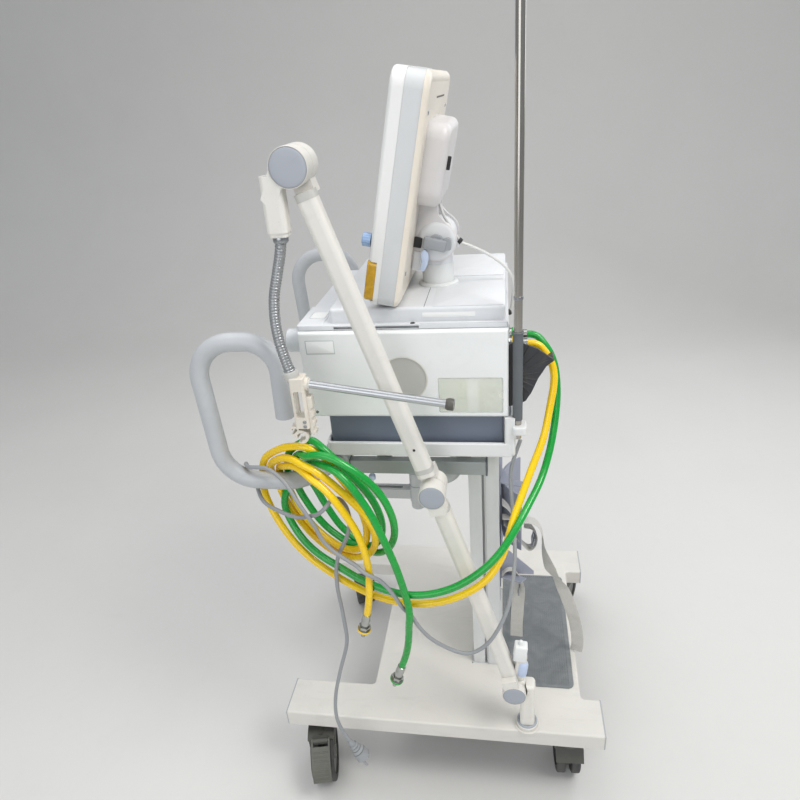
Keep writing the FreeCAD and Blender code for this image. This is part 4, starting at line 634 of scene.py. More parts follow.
def smooth_curve(points, step):
    """Catmull-Rom curve through points, about one sample per step"""
    P = [Vector(p) for p in points]
    P = [P[0] * 2 - P[1]] + P + [P[-1] * 2 - P[-2]]
    curve = []
    for p0, p1, p2, p3 in zip(P, P[1:], P[2:], P[3:]):
        n = max(2, int((p2 - p1).length / step))
        for k in range(n):
            t = k / n
            curve.append(0.5 * ((2 * p1) + (p2 - p0) * t
                                + (2 * p0 - 5 * p1 + 4 * p2 - p3) * t * t
                                + (3 * p1 - p0 - 3 * p2 + p3) * t ** 3))
    curve.append(P[-2].copy())
    return curve


def stations(path):
    """point, unit tangent and distance from the start at each path point"""
    distance = 0.0
    for i, point in enumerate(path):
        if i:
            distance += (point - path[i - 1]).length
        tangent = path[min(i + 1, len(path) - 1)] - path[max(i - 1, 0)]
        yield point, tangent.normalized(), distance


def sweep(name, path, radius, material, body=None, seg=18, angle=60):
    """round tube along a path; radius is a number or a function of the distance"""
    rings = []
    u = None
    for point, tangent, distance in stations(path):
        if u is None:
            u = basis(tangent)[0]
        u = (u - tangent * u.dot(tangent)).normalized()
        v = tangent.cross(u)
        r = radius(distance) if callable(radius) else radius
        ring = []
        for k in range(seg):
            a = 2 * math.pi * k / seg
            ring.append(point + u * (r * math.cos(a)) + v * (r * math.sin(a)))
        rings.append(ring)
    return loft(name, rings, material, body, angle)


def tape(name, points, width, material, twist):
    """strap along a path, its width along X turned by the twist angles in degrees

    UVs are the place across and the distance along, in mm
    """
    thick = 1.7
    crown_height, crown_rate = 0.35, 0.21   # lengthwise waviness of the middle
    path = smooth_curve(points, step=4.0)
    upper = []
    for k in range(11):
        x = -1 + 2 * k / 10
        thinning = 0.75 * max(0, abs(x) - 0.9) / 0.1
        upper.append((x * width / 2, thick / 2 * (1 - thinning)))
    section = upper + [(x, -y) for x, y in reversed(upper)]
    rings, uvs = [], []
    for i, (point, tangent, distance) in enumerate(stations(path)):
        side = Vector(NEAR)
        side = (side - tangent * side.dot(tangent)).normalized()
        normal = tangent.cross(side)
        q = i / (len(path) - 1) * (len(twist) - 1)
        j = min(int(q), len(twist) - 2)
        a = math.radians(twist[j] + (twist[j + 1] - twist[j]) * (q - j))
        c, s = math.cos(a), math.sin(a)
        side, normal = side * c + normal * s, normal * c - side * s
        ring = []
        for x, y in section:
            crown = (crown_height * math.sin(distance * crown_rate)
                     * (1 - (2 * x / width) ** 2))
            ring.append(point + side * x + normal * (y + crown))
            uvs.append((x, distance))
        rings.append(ring)
    return loft(name, rings, material, None, angle=50, uvs=uvs)


def screw(name, origin, axis, radius, material="steel", body="trolley", height=1.2):
    """low domed screw head with a recess"""
    profile = [(0.0, height * 0.45), (radius * 0.42, height * 0.45), (radius * 0.46, height),
               (radius * 0.75, height), (radius * 0.96, height * 0.72),
               (radius, height * 0.35), (radius, -0.4)]
    lathe(name, profile, origin, axis, material, body, seg=28)


def corner_screws(name, half_width, heights, place, axis, radius, body="trolley"):
    """four screws at both sides and two heights; place(x, height) gives the point"""
    corners = [(x, height) for height in heights for x in (-half_width, half_width)]
    for i, (x, height) in enumerate(corners):
        screw(f"{name}_{i}", place(x, height), axis, radius, body=body)


# ------------------------------------------------------------------ tube arm
ARM_FOOT, ARM_ELBOW, ARM_TOP = (268, 154, 310), (268, 14, 780), (268, -155, 1320)
ARM_HALF_WIDTH = 27.5     # from a joint's centre to the seat of its cap
TUBE_WIDTH, TUBE_DEPTH, TUBE_CORNER = 31, 28, 9.2
ARM_POST_BASE = (268, 181, 200)
LATCH_TILT = -6

# joint: centre, cap radius, rim radius, body of the near cap and of the far cap
ARM_JOINTS = {
    "foot": (ARM_FOOT, 21.8, 22.9, "arm_lower", "arm_base"),
    "elbow": (ARM_ELBOW, 21.8, 22.9, "arm_lower", "arm_upper"),
    "top": (ARM_TOP, 27.0, 28.4, "arm_end", "arm_upper"),
}


def joint_face(centre, side):
    return (centre[0] + side * ARM_HALF_WIDTH, centre[1], centre[2])


for tag, side in SIDES:
    for joint, (centre, r, _, near_body, far_body) in ARM_JOINTS.items():
        lathe(f"arm_cap_{joint}_{tag}",
              [(0.0, 1.9), (r * 0.55, 1.95), (r - 3.0, 1.8), (r - 1.2, 1.5), (r - 0.35, 0.9),
               (r, 0.2), (r, -0.3)],
              joint_face(centre, side), (side, 0, 0), "cap_grey",
              near_body if side > 0 else far_body, seg=64)
# thin rims round the near caps
for joint, (centre, _, r, near_body, _) in ARM_JOINTS.items():
    lathe("arm_rim_" + joint,
          [(r - 0.9, -0.2), (r - 0.9, 1.0), (r - 0.6, 1.25), (r - 0.25, 1.1), (r, 0.6),
           (r, -0.2)],
          joint_face(centre, 1), NEAR, "arm", near_body, seg=64)


def collar(name, start, end, distance, height, thick, material, body):
    """thin band round the arm's tube, at a distance from start towards end"""
    start = Vector(start)
    along = (Vector(end) - start).normalized()
    across = Vector(NEAR)
    deep = along.cross(across)
    origin = start + along * distance
    rings = []
    for grow, z in ((0, 0), (thick, 0), (thick, 0.4), (thick, height - 0.4),
                    (thick, height), (0, height)):
        points = rounded_rectangle(TUBE_DEPTH + 2 * grow, TUBE_WIDTH + 2 * grow, TUBE_CORNER)
        rings.append([origin + across * x + deep * y + along * z for x, y in points])
    loft(name, rings, material, body, angle=30, closed=True)


collar("arm_collar_top", ARM_TOP, ARM_ELBOW, 37.5, 11.5, 0.35, "disc", "arm_upper")
collar("arm_collar_elbow_up", ARM_ELBOW, ARM_TOP, 40.0, 9.0, 0.35, "disc", "arm_upper")
collar("arm_collar_elbow_down", ARM_ELBOW, ARM_FOOT, 36.0, 9.0, 0.35, "disc", "arm_lower")
collar("arm_collar_foot", ARM_FOOT, ARM_ELBOW, 33.0, 1.6, 0.3, "cap_grey", "arm_lower")

# ring and seat round the arm's post
lathe("arm_foot_ring",
      [(16.2, 8.6), (16.2, 11.4), (17.2, 12.2), (19.0, 12.2), (20.4, 11.4), (20.9, 10.0),
       (20.9, 8.8)], ARM_POST_BASE, UP, "cap_grey", "arm_base")
lathe("arm_foot_seat",
      [(22.6, 0.05), (26.6, 0.05), (27.0, 0.4), (26.9, 0.9), (26.2, 1.3), (23.4, 1.5),
       (22.6, 1.2)], ARM_POST_BASE, UP, "base_cover")

# upright latch at the foot joint: low corner, high corner, edge radius, material, tilt
for part, low, high, bevel, material, tilt in (
        ("body", (256.5, 154, 322.4), (279.5, 176, 332), 3.0, "arm", 0),
        ("stem", (259, 155, 330), (277, 176, 398), 5.0, "arm", LATCH_TILT),
        ("head", (257, 153, 385), (279, 178, 424), 3.5, "white_panel", LATCH_TILT),
        ("nib", (264, 163, 420), (272, 170, 433), 2.5, "white_panel", LATCH_TILT),
        ("insert", (262, 160, 342), (280.5, 180, 382), 8.0, "pale_blue", LATCH_TILT)):
    block("arm_latch_" + part, low, high, bevel, material, "arm_lower", tilt)
screw("arm_screw_a", (282.2, -12, 866), NEAR, 2.2, "dark", "arm_upper")
screw("arm_screw_b", (268, 159, 262), FRONT, 2.2, "dark", "arm_base")

# ------------------------------------------------------------------ gooseneck and holder
lathe("gooseneck_collar_top",
      [(9.0, 1.0), (11.0, 0.6), (11.6, -1.0), (11.4, -7.0), (10.2, -9.0), (9.4, -9.4)],
      (282, -185, 1225.5), UP, "steel", "arm_end", seg=48)

# centre line, from the arm down to the holder
GOOSENECK = [
    (282, -185, 1230), (282, -185, 1222), (284, -189, 1200), (290, -196, 1172),
    (299, -203, 1140), (307, -204.5, 1108), (312, -202, 1078), (314, -197.0, 1050),
    (314.5, -192.5, 1030), (314.5, -191.5, 1024),
]
RIB_PITCH, RIB_ROOT, RIB_HEIGHT = 4.4, 7.25, 1.25


def rib_radius(distance):
    phase = (distance / RIB_PITCH) % 1.0
    return RIB_ROOT + RIB_HEIGHT * math.sin(math.pi * phase) ** 0.7


gooseneck = sweep("gooseneck_ribbed", smooth_curve(GOOSENECK, step=0.9), rib_radius,
                  "gooseneck", seg=26, angle=80)
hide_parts("gooseneck")
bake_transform(gooseneck)

for i, z in enumerate((943, 935)):
    screw(f"holder_screw_{i}", (328.0, -176, z), NEAR, 3.0, body="holder")
lathe("holder_sleeve",
      [(9.6, 0), (11.4, 0.6), (11.9, 2.0), (11.9, 12.0), (11.2, 13.6), (9.9, 14.0)],
      (314.5, -191.9, 1026.5), (0, 0.2, -1), "disc", "holder", seg=40)
ROD_START = Vector((316, -175.5, 1006.2))
ROD_AXIS = Vector((0, 1, -0.163)).normalized()
lathe("rod_collar",
      [(6.6, 0), (7.6, 0.3), (8.2, 1.0), (8.2, 2.6), (7.6, 3.3), (6.6, 3.6)],
      ROD_START + ROD_AXIS * 9.5, ROD_AXIS, "arm", "holder", seg=40)
lathe("rod_end_cap",
      [(0.0, 11.6), (4.6, 11.5), (8.4, 10.8), (9.4, 9.4), (9.6, 7.0), (9.6, 1.4), (9.0, 0.2),
       (7.8, -2.5), (6.6, -3.2)],
      ROD_START + ROD_AXIS * 228.5, ROD_AXIS, "rod_cap", "holder", seg=40)

# ------------------------------------------------------------------ sides of the body
SIDE_X = 200.0
DISC_CENTRE = (198.0, -35, 958)        # on the near side
WINDOW_Y, WINDOW_Z = 79, 926.75
CARD_X, FILM_X = 198.45, 199.15
FILM_WIDTH, FILM_HEIGHT, FILM_CHAMFER = 109.4, 65.9, 1.5
NOTCH_RADIUS = 6.5


def film_outline(side):
    """chamfered rectangle with a half-round notch in its rear edge"""
    x, y, chamfer = FILM_WIDTH / 2, FILM_HEIGHT / 2, FILM_CHAMFER
    points = [(x, y - chamfer), (x - chamfer, y), (-x + chamfer, y), (-x, y - chamfer),
              (-x, -y + chamfer), (-x + chamfer, -y), (x - chamfer, -y), (x, -y + chamfer)]
    for i in range(25):
        a = math.radians(270 - 180 * i / 24)
        points.append((x + NOTCH_RADIUS * math.cos(a), NOTCH_RADIUS * math.sin(a)))
    return [(px * side, py) for px, py in points][::side]


for tag, side in SIDES:
    axis = (side, 0, 0)
    disc = (DISC_CENTRE[0] * side, *DISC_CENTRE[1:])
    lathe("side_disc_" + tag,
          [(0.0, 1.55), (18.0, 1.5), (35.0, 1.6), (38.6, 1.9), (39.2, 2.1), (39.4, 0.2)],
          disc, axis, "disc", seg=80)
    lathe("side_disc_rim_" + tag,
          [(39.5, 0.1), (39.5, 2.2), (40.2, 2.55), (41.2, 2.5), (41.85, 2.1), (41.85, 0.1)],
          disc, axis, "disc_rim", seg=80)
    # window: card under a clear film
    plate("window_card_" + tag, (107.5, 64.0, 0.5), (CARD_X * side, WINDOW_Y, WINDOW_Z),
          axis, "card", corner=2.0, bevel=0.15)
    plate("window_film_" + tag, (FILM_WIDTH, FILM_HEIGHT, 0.45),
          (FILM_X * side, WINDOW_Y, WINDOW_Z), axis, "film", bevel=0.1,
          outline=film_outline(side))
    screw(f"side_screw_{tag}_0", (SIDE_X * side, -196, 895), axis, 3.0, height=0.8)

# blank label with a border on the near side, and a blank strip above
LABEL_CENTRE = (200.02, -175, 1018.8)
plate("label_side_edge", (51, 25, 0.25), LABEL_CENTRE, NEAR, "label_border", corner=1.0,
      bevel=0.05)
plate("label_side", (48, 22, 0.45), LABEL_CENTRE, NEAR, "label", corner=0.8, bevel=0.08)
plate("label_top", (88, 8.5, 0.3), (176.0, 45, 1064.5), NEAR, "label", corner=0.6, bevel=0.06)

# ------------------------------------------------------------------ top of the body
TOP_Z, SHOULDER_Z = 1078.0, 1053.0
plate("pad_light", (31.5, 27.5, 1.25), (135, -188, 1053.72), UP, "label", corner=3.0,
      bevel=0.35, up=REAR, dish=0.25)
lathe("top_hole", [(0.0, 0.25), (3.0, 0.25), (3.9, 0.6), (4.2, 0.2), (4.2, 0.0)],
      (182.5, -15, SHOULDER_Z), UP, "dark", seg=32)
# dark joint across the cover, the raised fields behind it and the shoulder trims
block("top_seam_a", (-172, 3.9, 1076.6), (172, 5.0, 1078.15), 0.25, "sleeve")
plate("top_field_rear", (150, 118, 0.4), (98, 76, TOP_Z), UP, "top_cover", corner=4.0,
      bevel=0.15, up=REAR)
plate("top_field_left", (158, 118, 1.1), (-84, 76, TOP_Z), UP, "top_cover", corner=4.0,
      bevel=0.5, up=REAR)
for suffix, side in (("", 1), ("_l", -1)):
    plate("top_shoulder_trim" + suffix, (6.0, 140, 1.0), (184.3 * side, 68, SHOULDER_Z), UP,
          "top_cover", corner=1.5, bevel=0.4, up=REAR)
lathe("post_skirt", [(29.2, 5.2), (33.2, 4.6), (35.6, 3.2), (36.6, 1.4), (36.8, 0.0)],
      (30, 16, TOP_Z), UP, "post", seg=72)

# ------------------------------------------------------------------ tilt head of the display
LEAN = 12                              # degrees the display leans back
LEAN_COS, LEAN_SIN = math.cos(math.radians(LEAN)), math.sin(math.radians(LEAN))

for tag, side, x in (("near", 1, 74.3), ("far", -1, -14.3)):
    lathe("hub_disc_" + tag,
          [(0.0, 3.6), (12.0, 3.4), (26.0, 2.6), (31.0, 1.4), (32.4, 0.2), (32.4, -0.2)],
          (x, 20, 1163), (side, 0, 0), "swivel", "display", seg=72)
block("hub_grey_block", (76.5, -2, 1150), (90, 38, 1170), 3.0, "lever", "lever", tilt=-14)
# leaf outline: across, up; widened by LEAF_WIDENING
LEAF = [(0, 14), (4.5, 8), (6.0, -2), (4.5, -14), (1.0, -24), (-3.0, -27), (-4.5, -20),
        (-3.0, -8), (-5.0, 2), (-4.0, 10)]
LEAF_WIDENING = 1.3
plate("release_leaf", (14, 52, 4.0), (84, -1, 1139), NEAR, "pale_blue", "lever", bevel=0.6,
      up=(0, 0.12, 1), outline=[(x * LEAF_WIDENING, y) for x, y in LEAF])
block("hinge_stop", (66, -20, 1154), (80, -5, 1172), 2.0, "dark", "display", tilt=-LEAN)
block("hinge_plate", (60, -24, 1112), (76, -8, 1148), 2.5, "swivel", "display", tilt=-LEAN)

# ------------------------------------------------------------------ signal cable
CABLE_RADIUS = 2.6
# from the display down to the clip
UPPER_CABLE = [(54, 16, 1240), (55, 26, 1224), (55.5, 33, 1203), (55.5, 44, 1183),
               (55, 53, 1167), (55, 61, 1155)]
# from the clip over the top to the rear panel
LOWER_CABLE = [
    (55, 61, 1155), (52, 74, 1149), (46, 92, 1139), (40, 110, 1127), (36, 128, 1113),
    (33, 142, 1098), (31, 150.5, 1080), (31, 152, 1058), (31, 149.5, 1030),
    (31, 146, 1020), (31, 140, 1016),
]
upper_cable = sweep("signal_cable_upper", smooth_curve(UPPER_CABLE, step=3.0), CABLE_RADIUS,
                    "cable_white", seg=14)
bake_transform(upper_cable)
lower_cable = sweep("signal_cable_lower", smooth_curve(LOWER_CABLE, step=3.0), CABLE_RADIUS,
                    "cable_white", seg=14)
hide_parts("display_cable")
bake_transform(lower_cable)
lathe("signal_cable_gland", [(2.8, 6.0), (5.0, 5.6), (5.6, 4.0), (5.8, 0.0)],
      (31, 143.0, 1016.5), (0, 1, 0.3), "dark", seg=28)
lathe("cable_clip", [(2.9, -3.2), (5.4, -3.2), (5.8, -2.4), (5.8, 2.4), (5.4, 3.2), (2.9, 3.2)],
      (55, 59, 1157.5), (0, 0.72, -0.69), "dark", "swivel", seg=28)
block("cable_clip_foot", (50.5, 49, 1150), (59.5, 57.5, 1159), 1.6, "dark", "swivel")

# ------------------------------------------------------------------ display front and back
DISPLAY_Y, DISPLAY_Z = -94, 1089       # lower front edge, about which the display leans
DISPLAY_FRONT = (0, -LEAN_COS, LEAN_SIN)
DISPLAY_BACK = (0, LEAN_COS, -LEAN_SIN)
DISPLAY_UP = (0, LEAN_SIN, LEAN_COS)
BACK_DEPTH = 58.0
KEY_PITCH, LIGHT_PITCH, VENT_PITCH = 27, 12, 16


def on_display(x, depth, height):
    """point at a depth behind the display's front and a height up its slope"""
    return (x, DISPLAY_Y + depth * LEAN_COS + height * LEAN_SIN,
            DISPLAY_Z - depth * LEAN_SIN + height * LEAN_COS)


for i in range(6):
    plate(f"front_key_{i}", (20, 10, 0.8), on_display(-118 + KEY_PITCH * i, 0, 42),
          DISPLAY_FRONT, "key", "display", corner=3.0, bevel=0.35, up=DISPLAY_UP)
for i in range(3):
    lathe(f"status_light_{i}", [(0.0, 0.9), (1.4, 0.75), (2.0, 0.3), (2.0, -0.1)],
          on_display(118 + LIGHT_PITCH * i, 0, 44), DISPLAY_FRONT,
          "lens" if i else "hose_green", "display", seg=24)
corner_screws("display_screw", 150, (52, 300), lambda x, z: on_display(x, BACK_DEPTH, z),
              DISPLAY_BACK, 3.6, "display")
for i in range(9):
    plate(f"display_vent_{i}", (9, 3.0, 0.35),
          on_display(-90 + VENT_PITCH * i, BACK_DEPTH, 318), DISPLAY_BACK, "dark", "display",
          corner=1.4, bevel=0.1, up=DISPLAY_UP)
plate("display_plate_back", (96, 34, 0.5), on_display(-112, BACK_DEPTH, 90), DISPLAY_BACK,
      "label", "display", corner=2.0, bevel=0.1, up=DISPLAY_UP)
block("pod_socket", (100, 46, 1282), (107, 52, 1303), 1.5, "dark", "display", tilt=-LEAN)

# ------------------------------------------------------------------ straps behind the column
# strap: width, material, points of the centre line, twist angles spread along it
STRAPS = {
    "strap_long": (27, "webbing", [
        (62, 131, 572), (62, 150, 571), (64, 168, 566), (66, 186, 568), (68, 203, 562),
        (69, 214, 540), (70, 217, 512), (70, 224, 476), (71, 235, 440), (72, 253, 408),
        (73, 268, 374), (74, 280, 338), (75, 291, 298), (76, 298, 258), (76, 300, 226),
        (75, 298, 206),
    ], [-8, -6, -4, 0, -12, -40, -66, -40, -78, -86, -84, -80, -84, -88, -80]),
    "strap_short": (27, "webbing", [
        (100, 130, 452), (99, 141, 464), (97, 155, 462), (95, 164, 440), (94, 166, 402),
        (94, 164, 350), (94, 162, 300), (94, 162, 262),
    ], [0, -20, -60, -86, -90, -88, -86]),
    "strap_loop": (25, "webbing_dark", [
        (64, 134, 560), (66, 152, 538), (70, 172, 512), (72, 188, 500), (70, 200, 512),
        (66, 202, 532), (63, 192, 548), (62, 176, 552),
    ], [0, -6, -10, 0, 10, 6]),
    "strap_upper": (26, "webbing_dark", [
        (104, 131, 640), (103, 142, 628), (100, 152, 606), (94, 158, 584), (86, 163, 566),
    ], [0, -10, -20]),
}
straps = [tape(name, points, width, material, twist)
          for name, (width, material, points, twist) in STRAPS.items()]
for strap in straps:
    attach(strap, "trolley")
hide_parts("cylinder_straps")


def buckle(name, centre, up, axis):
    """wire frame of squarish outline with a bar across its middle"""
    half_width, half_height, squareness = 17, 10, 0.35
    centre = Vector(centre)
    up = Vector(up).normalized()
    across = up.cross(Vector(axis).normalized())
    path = []
    for degrees in range(0, 360, 10):
        c, s = math.cos(math.radians(degrees)), math.sin(math.radians(degrees))
        x = math.copysign(abs(c) ** squareness, c)
        y = math.copysign(abs(s) ** squareness, s)
        path.append(centre + across * (half_width * x) + up * (half_height * y))
    sweep(name, path + path[:2], 1.7, "steel", "trolley", seg=12)
    bar = [centre + across * x for x in (-16.5, -5, 5, 16.5)]
    sweep(name + "_bar", bar, 1.5, "steel", "trolley", seg=12)


buckle("strap_buckle_a", (66, 196, 520), up=(0, 0.25, 1), axis=(0, 1, -0.25))
buckle("strap_buckle_b", (94, 166, 408), up=(0, 0.1, 1), axis=REAR)

# ------------------------------------------------------------------ rails, handles and pole
RAIL_X, RAIL_HALF_WIDTH = 181, 10
POLE_X, POLE_Y = 195, 158

for tag, side in (("a", 1), ("b", -1)):
    lathe("rail_knob_" + tag,
          [(0.0, -9.0), (4.2, -8.6), (6.2, -6.8), (6.8, -3.0), (6.4, 1.0), (4.6, 3.4),
           (3.0, 4.0), (3.0, 10.0)],
          (RAIL_X * side, -113, 748), UP, "pale_blue", seg=32)
for tag, side in (("r", 1), ("l", -1)):
    x = RAIL_X * side
    for end, y_low, y_high in (("front", -153.5, -149.8), ("rear", 101.8, 105.5)):
        block(f"rail_stop_{end}_{tag}", (x - RAIL_HALF_WIDTH, y_low, 757.5),
              (x + RAIL_HALF_WIDTH, y_high, 788.5), 1.4, "sleeve")
    lathe("handle_plug_" + tag,
          [(0.0, -1.6), (7.0, -1.4), (9.6, -0.8), (10.6, 0.2), (10.6, 0.8)],
          (285 * side, -224, 931.2), UP, "sleeve", seg=36)
    for i, (y, z) in enumerate(((-175, 800), (-160, 781))):
        screw(f"handle_screw_{tag}_{i}", (SIDE_X * side, y, z), (side, 0, 0), 3.2)
lathe("pole_joint", [(7.05, 0.0), (7.8, 0.4), (7.9, 3.0), (7.8, 5.6), (7.05, 6.0)],
      (POLE_X, POLE_Y, 1093), UP, "steel", seg=40)
lathe("sleeve_lip", [(8.7, 0.0), (9.5, 0.4), (9.6, 2.4), (9.0, 3.0), (7.2, 3.2)],
      (POLE_X, POLE_Y, 1036.5), UP, "sleeve", seg=40)


# ------------------------------------------------------------------ gas hoses and inlets
def hose_end(tag, start, end, material):
    """crimp, coloured band, knurl and dark ring on the line from start through end"""
    end = Vector(end)
    axis = (end - Vector(start)).normalized()
    knurl = [(7.55, 26.6)]
    for i in range(4):
        knurl += [(8.1, 27.0 + i * 1.2), (7.7, 27.6 + i * 1.2)]
    knurl.append((7.55, 31.8))
    lathe("fitting_crimp_" + tag,
          [(6.7, -16.0), (7.6, -15.6), (7.9, -14.4), (7.9, -2.0), (8.3, -1.2), (8.3, 0.4)],
          end, axis, "fitting", seg=40)
    lathe("fitting_band_" + tag,
          [(12.02, 21.6), (12.75, 21.9), (12.95, 23.0), (12.95, 24.2), (12.6, 25.2),
           (12.02, 25.5)], end, axis, material, seg=48)
    lathe("fitting_knurl_" + tag, knurl, end, axis, "fitting", seg=40)
    lathe("fitting_probe_" + tag, [(4.05, 33.0), (4.5, 33.4), (4.5, 35.0), (4.05, 35.4)],
          end, axis, "dark", seg=32)


REAR_Y = 143.0
hose_end("air", (342.6, -107.5, 568), (342, -114.1, 540.8), "hose_yellow")
hose_end("oxygen", (348.4, -52.2, 441.4), (348, -59.2, 421.5), "hose_green")
for tag, x, material in (("air", 130, "hose_yellow"), ("oxygen", 85, "hose_green")):
    inlet = (x, REAR_Y, 993)
    lathe("inlet_ring_" + tag, [(12.1, 6.0), (13.2, 6.2), (13.4, 7.2), (13.2, 8.4), (9.0, 8.8)],
          inlet, REAR, material, seg=48)
    lathe("inlet_flange_" + tag,
          [(12.4, 0.0), (17.4, 0.1), (18.0, 0.7), (17.8, 1.5), (16.8, 1.9), (12.4, 2.1)],
          inlet, REAR, "steel")

# ------------------------------------------------------------------ rear of the body
SOCKET_Z, SOCKET_HEIGHT, SOCKET_BORDER = 930, 12, 4
for tag, x, width in (("a", -5, 22), ("b", 30, 16), ("c", 62, 16)):
    plate(f"rear_socket_{tag}_frame",
          (width + 2 * SOCKET_BORDER, SOCKET_HEIGHT + 2 * SOCKET_BORDER, 1.6),
          (x, REAR_Y, SOCKET_Z), REAR, "port", corner=2.5, bevel=0.4)
    plate("rear_socket_" + tag, (width, SOCKET_HEIGHT, 4.0), (x, REAR_Y + 0.2, SOCKET_Z),
          REAR, "dark", corner=1.8, bevel=0.4, dish=0.5)
lathe("rear_round_socket",
      [(0.0, 1.0), (6.4, 1.0), (6.6, 3.6), (8.4, 3.8), (9.4, 3.0), (9.6, 0.0)],
      (96, REAR_Y, SOCKET_Z), REAR, "steel", seg=40)
plate("rear_plate", (74, 30, 0.4), (28, REAR_Y, 968), REAR, "label", corner=1.2, bevel=0.08)
corner_screws("rear_screw", 182, (892, 1037), lambda x, z: (x, REAR_Y, z), REAR, 3.4)

# ------------------------------------------------------------------ front of the body
FRONT_Y = -216
FILTER_PORT = (150, -246, 1014)
GRILLE_X, GRILLE_BAR_PITCH = 115, 6.8
for tag, centre, r in (("insp", (20, -224, 960), 22.0), ("exp", (-60, -222, 960), 29.0)):
    lathe("port_ring_" + tag,
          [(r - 7.5, 0.0), (r - 7.0, 0.8), (r - 2.2, 0.8), (r - 1.6, 0.2), (r - 1.4, 0.0)],
          centre, FRONT, "disc", seg=64)
lathe("port_ring_filter", [(16.0, 0.0), (16.4, 0.7), (19.0, 0.8), (19.4, 0.1)],
      FILTER_PORT, FRONT, "disc", seg=64)
lathe("port_mouth_filter", [(0.0, -6.0), (15.3, -6.0), (15.3, -2.0)],
      FILTER_PORT, FRONT, "dark", seg=48)
plate("front_plate", (120, 26, 0.4), (-60, FRONT_Y, 1014), FRONT, "label", corner=1.5,
      bevel=0.08)
plate("front_grille_frame", (84, 60, 1.2), (GRILLE_X, FRONT_Y, 930), FRONT, "port",
      corner=5.0, bevel=0.4)
for i in range(8):
    plate(f"front_grille_bar_{i}", (72, 3.0, 1.9),
          (GRILLE_X, FRONT_Y, 906 + GRILLE_BAR_PITCH * i), FRONT, "sleeve", corner=1.4,
          bevel=0.4)

# ------------------------------------------------------------------ casters and column
AXLE_CAP_OFFSET = 25.1
for corner, (x, y, heading) in CASTERS.items():
    centre, axle = (Vector(v) for v in caster_axle(x, y, heading))
    for tag, side in (("a", 1), ("b", -1)):
        lathe(f"axle_cap_{corner}_{tag}",
              [(0.0, 1.8), (4.0, 1.7), (8.0, 1.2), (9.6, 0.5), (10.0, -0.2), (10.0, -1.6)],
              centre + axle * (AXLE_CAP_OFFSET * side), axle * side, "pedal",
              f"caster_{corner}_wheels", seg=40)
    lathe("caster_washer_" + corner,
          [(11.2, 0.0), (24.5, 0.0), (25.2, -0.5), (25.2, -1.6), (24.4, -2.0), (11.2, -2.0)],
          (x, y, 161.9), UP, "steel", seg=48)

plate("column_trim_front", (234, 10, 1.2), (0, 68.8, 206), FRONT, "column", corner=2.0,
      bevel=0.4)
corner_screws("column_screw", 66, (300, 720), lambda x, z: (x, 69.0, z), FRONT, 3.4)

# ------------------------------------------------------------------ floor and backdrop
FLOOR_HALF_WIDTH = 11000
FLOOR_BEND_X, FLOOR_BEND_RADIUS = -2400, 1600
BACKDROP_HEIGHT = 7000
# section in x, z: flat floor, quarter bend, upright backdrop on the -X side
section = [(7000, 0), (3000, 0), (0, 0), (FLOOR_BEND_X, 0)]
for i in range(1, 13):
    a = math.radians(90 * i / 12)
    section.append((FLOOR_BEND_X - FLOOR_BEND_RADIUS * math.sin(a),
                    FLOOR_BEND_RADIUS - FLOOR_BEND_RADIUS * math.cos(a)))
section.append((FLOOR_BEND_X - FLOOR_BEND_RADIUS, BACKDROP_HEIGHT))
floor_verts = [(x, y, z) for x, z in section for y in (-FLOOR_HALF_WIDTH, FLOOR_HALF_WIDTH)]
floor_faces = [(i, i + 1, i + 3, i + 2) for i in range(0, 2 * len(section) - 2, 2)]
coated("floor", "#DCDBD8", rough=0.6, var=0.01, var_scale=2.0, grime=0.03, painted_corner_shade=0.0,
       grain=300.0, grain_bump=0.04)
floor = make("stage_floor", floor_verts, floor_faces, "floor", None, angle=40)

# ------------------------------------------------------------------ world
# grey-blue below, near white above
world = bpy.data.worlds.new("studio")
bpy.context.scene.world = world
world.use_nodes = True
nodes, links = world.node_tree.nodes, world.node_tree.links
background = nodes["Background"]
direction = nodes.new("ShaderNodeTexCoord")
split = nodes.new("ShaderNodeSeparateXYZ")
sky = nodes.new("ShaderNodeValToRGB")
links.new(direction.outputs["Generated"], split.inputs[0])
links.new(split.outputs[2], sky.inputs[0])
links.new(sky.outputs[0], background.inputs[0])
low_stop, high_stop = sky.color_ramp.elements
low_stop.position, low_stop.color = 0.0, (0.60, 0.63, 0.68, 1)
high_stop.position, high_stop.color = 0.9, (0.95, 0.97, 1.0, 1)
background.inputs["Strength"].default_value = 0.54


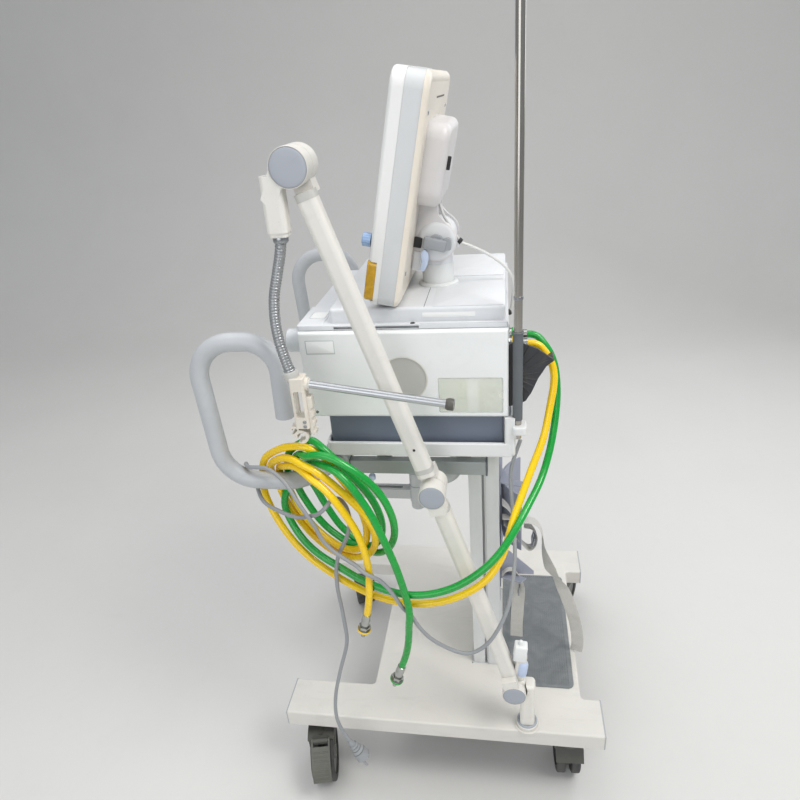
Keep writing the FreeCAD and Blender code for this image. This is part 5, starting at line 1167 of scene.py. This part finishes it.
# ------------------------------------------------------------------ lights and camera
def area_light(name, location, target, size, power, colour):
    light = bpy.data.lights.new(name, "AREA")
    light.shape = "RECTANGLE"
    light.size, light.size_y = size
    light.energy = power
    light.color = colour
    obj = bpy.data.objects.new(name, light)
    bpy.context.scene.collection.objects.link(obj)
    obj.location = location
    aim = Vector(target) - Vector(location)
    obj.rotation_euler = aim.to_track_quat("-Z", "Y").to_euler()


area_light("key", (0.9, 1.5, 3.1), target=(0.0, 0.0, 0.6), size=(1.1, 1.1), power=46,
           colour=(1.0, 0.985, 0.96))
area_light("top", (-0.3, -0.7, 3.4), target=(0.0, 0.0, 0.6), size=(2.4, 2.4), power=30,
           colour=(1.0, 1.0, 1.0))
area_light("front", (2.8, -0.7, 1.7), target=(0.0, 0.0, 0.75), size=(2.2, 2.0), power=24,
           colour=(0.97, 0.985, 1.0))
area_light("rim", (-1.9, 1.4, 2.0), target=(0.0, 0.0, 0.9), size=(1.6, 1.6), power=14,
           colour=(0.93, 0.96, 1.0))

# the camera stands on the near side, above the trolley, and looks down and inwards
CAMERA_PLACE = (1.1833195, 0.1374281, 1.4084989)
CAMERA_RIGHT = (-0.1449398586629787, 0.9866752817190075, -0.0739210782894349)
CAMERA_UP = (-0.44621932518780943, 0.0014986302865913903, 0.8949223809561364)
CAMERA_BACK = (0.8831085727132829, 0.16269493708158567, 0.4400563671262207)
camera = bpy.data.cameras.new("camera")
camera.sensor_fit = "HORIZONTAL"
camera.sensor_width = 36.0
camera.lens = 28.7438535
camera.clip_start, camera.clip_end = 0.05, 60.0
camera_object = bpy.data.objects.new("camera", camera)
scene = bpy.context.scene
scene.collection.objects.link(camera_object)
camera_pose = Matrix((CAMERA_RIGHT, CAMERA_UP, CAMERA_BACK)).transposed().to_4x4()
camera_pose.translation = CAMERA_PLACE
camera_object.matrix_world = camera_pose
scene.camera = camera_object
scene.view_settings.view_transform = "Standard"
scene.view_settings.look = "None"
scene.view_settings.exposure = 0.0

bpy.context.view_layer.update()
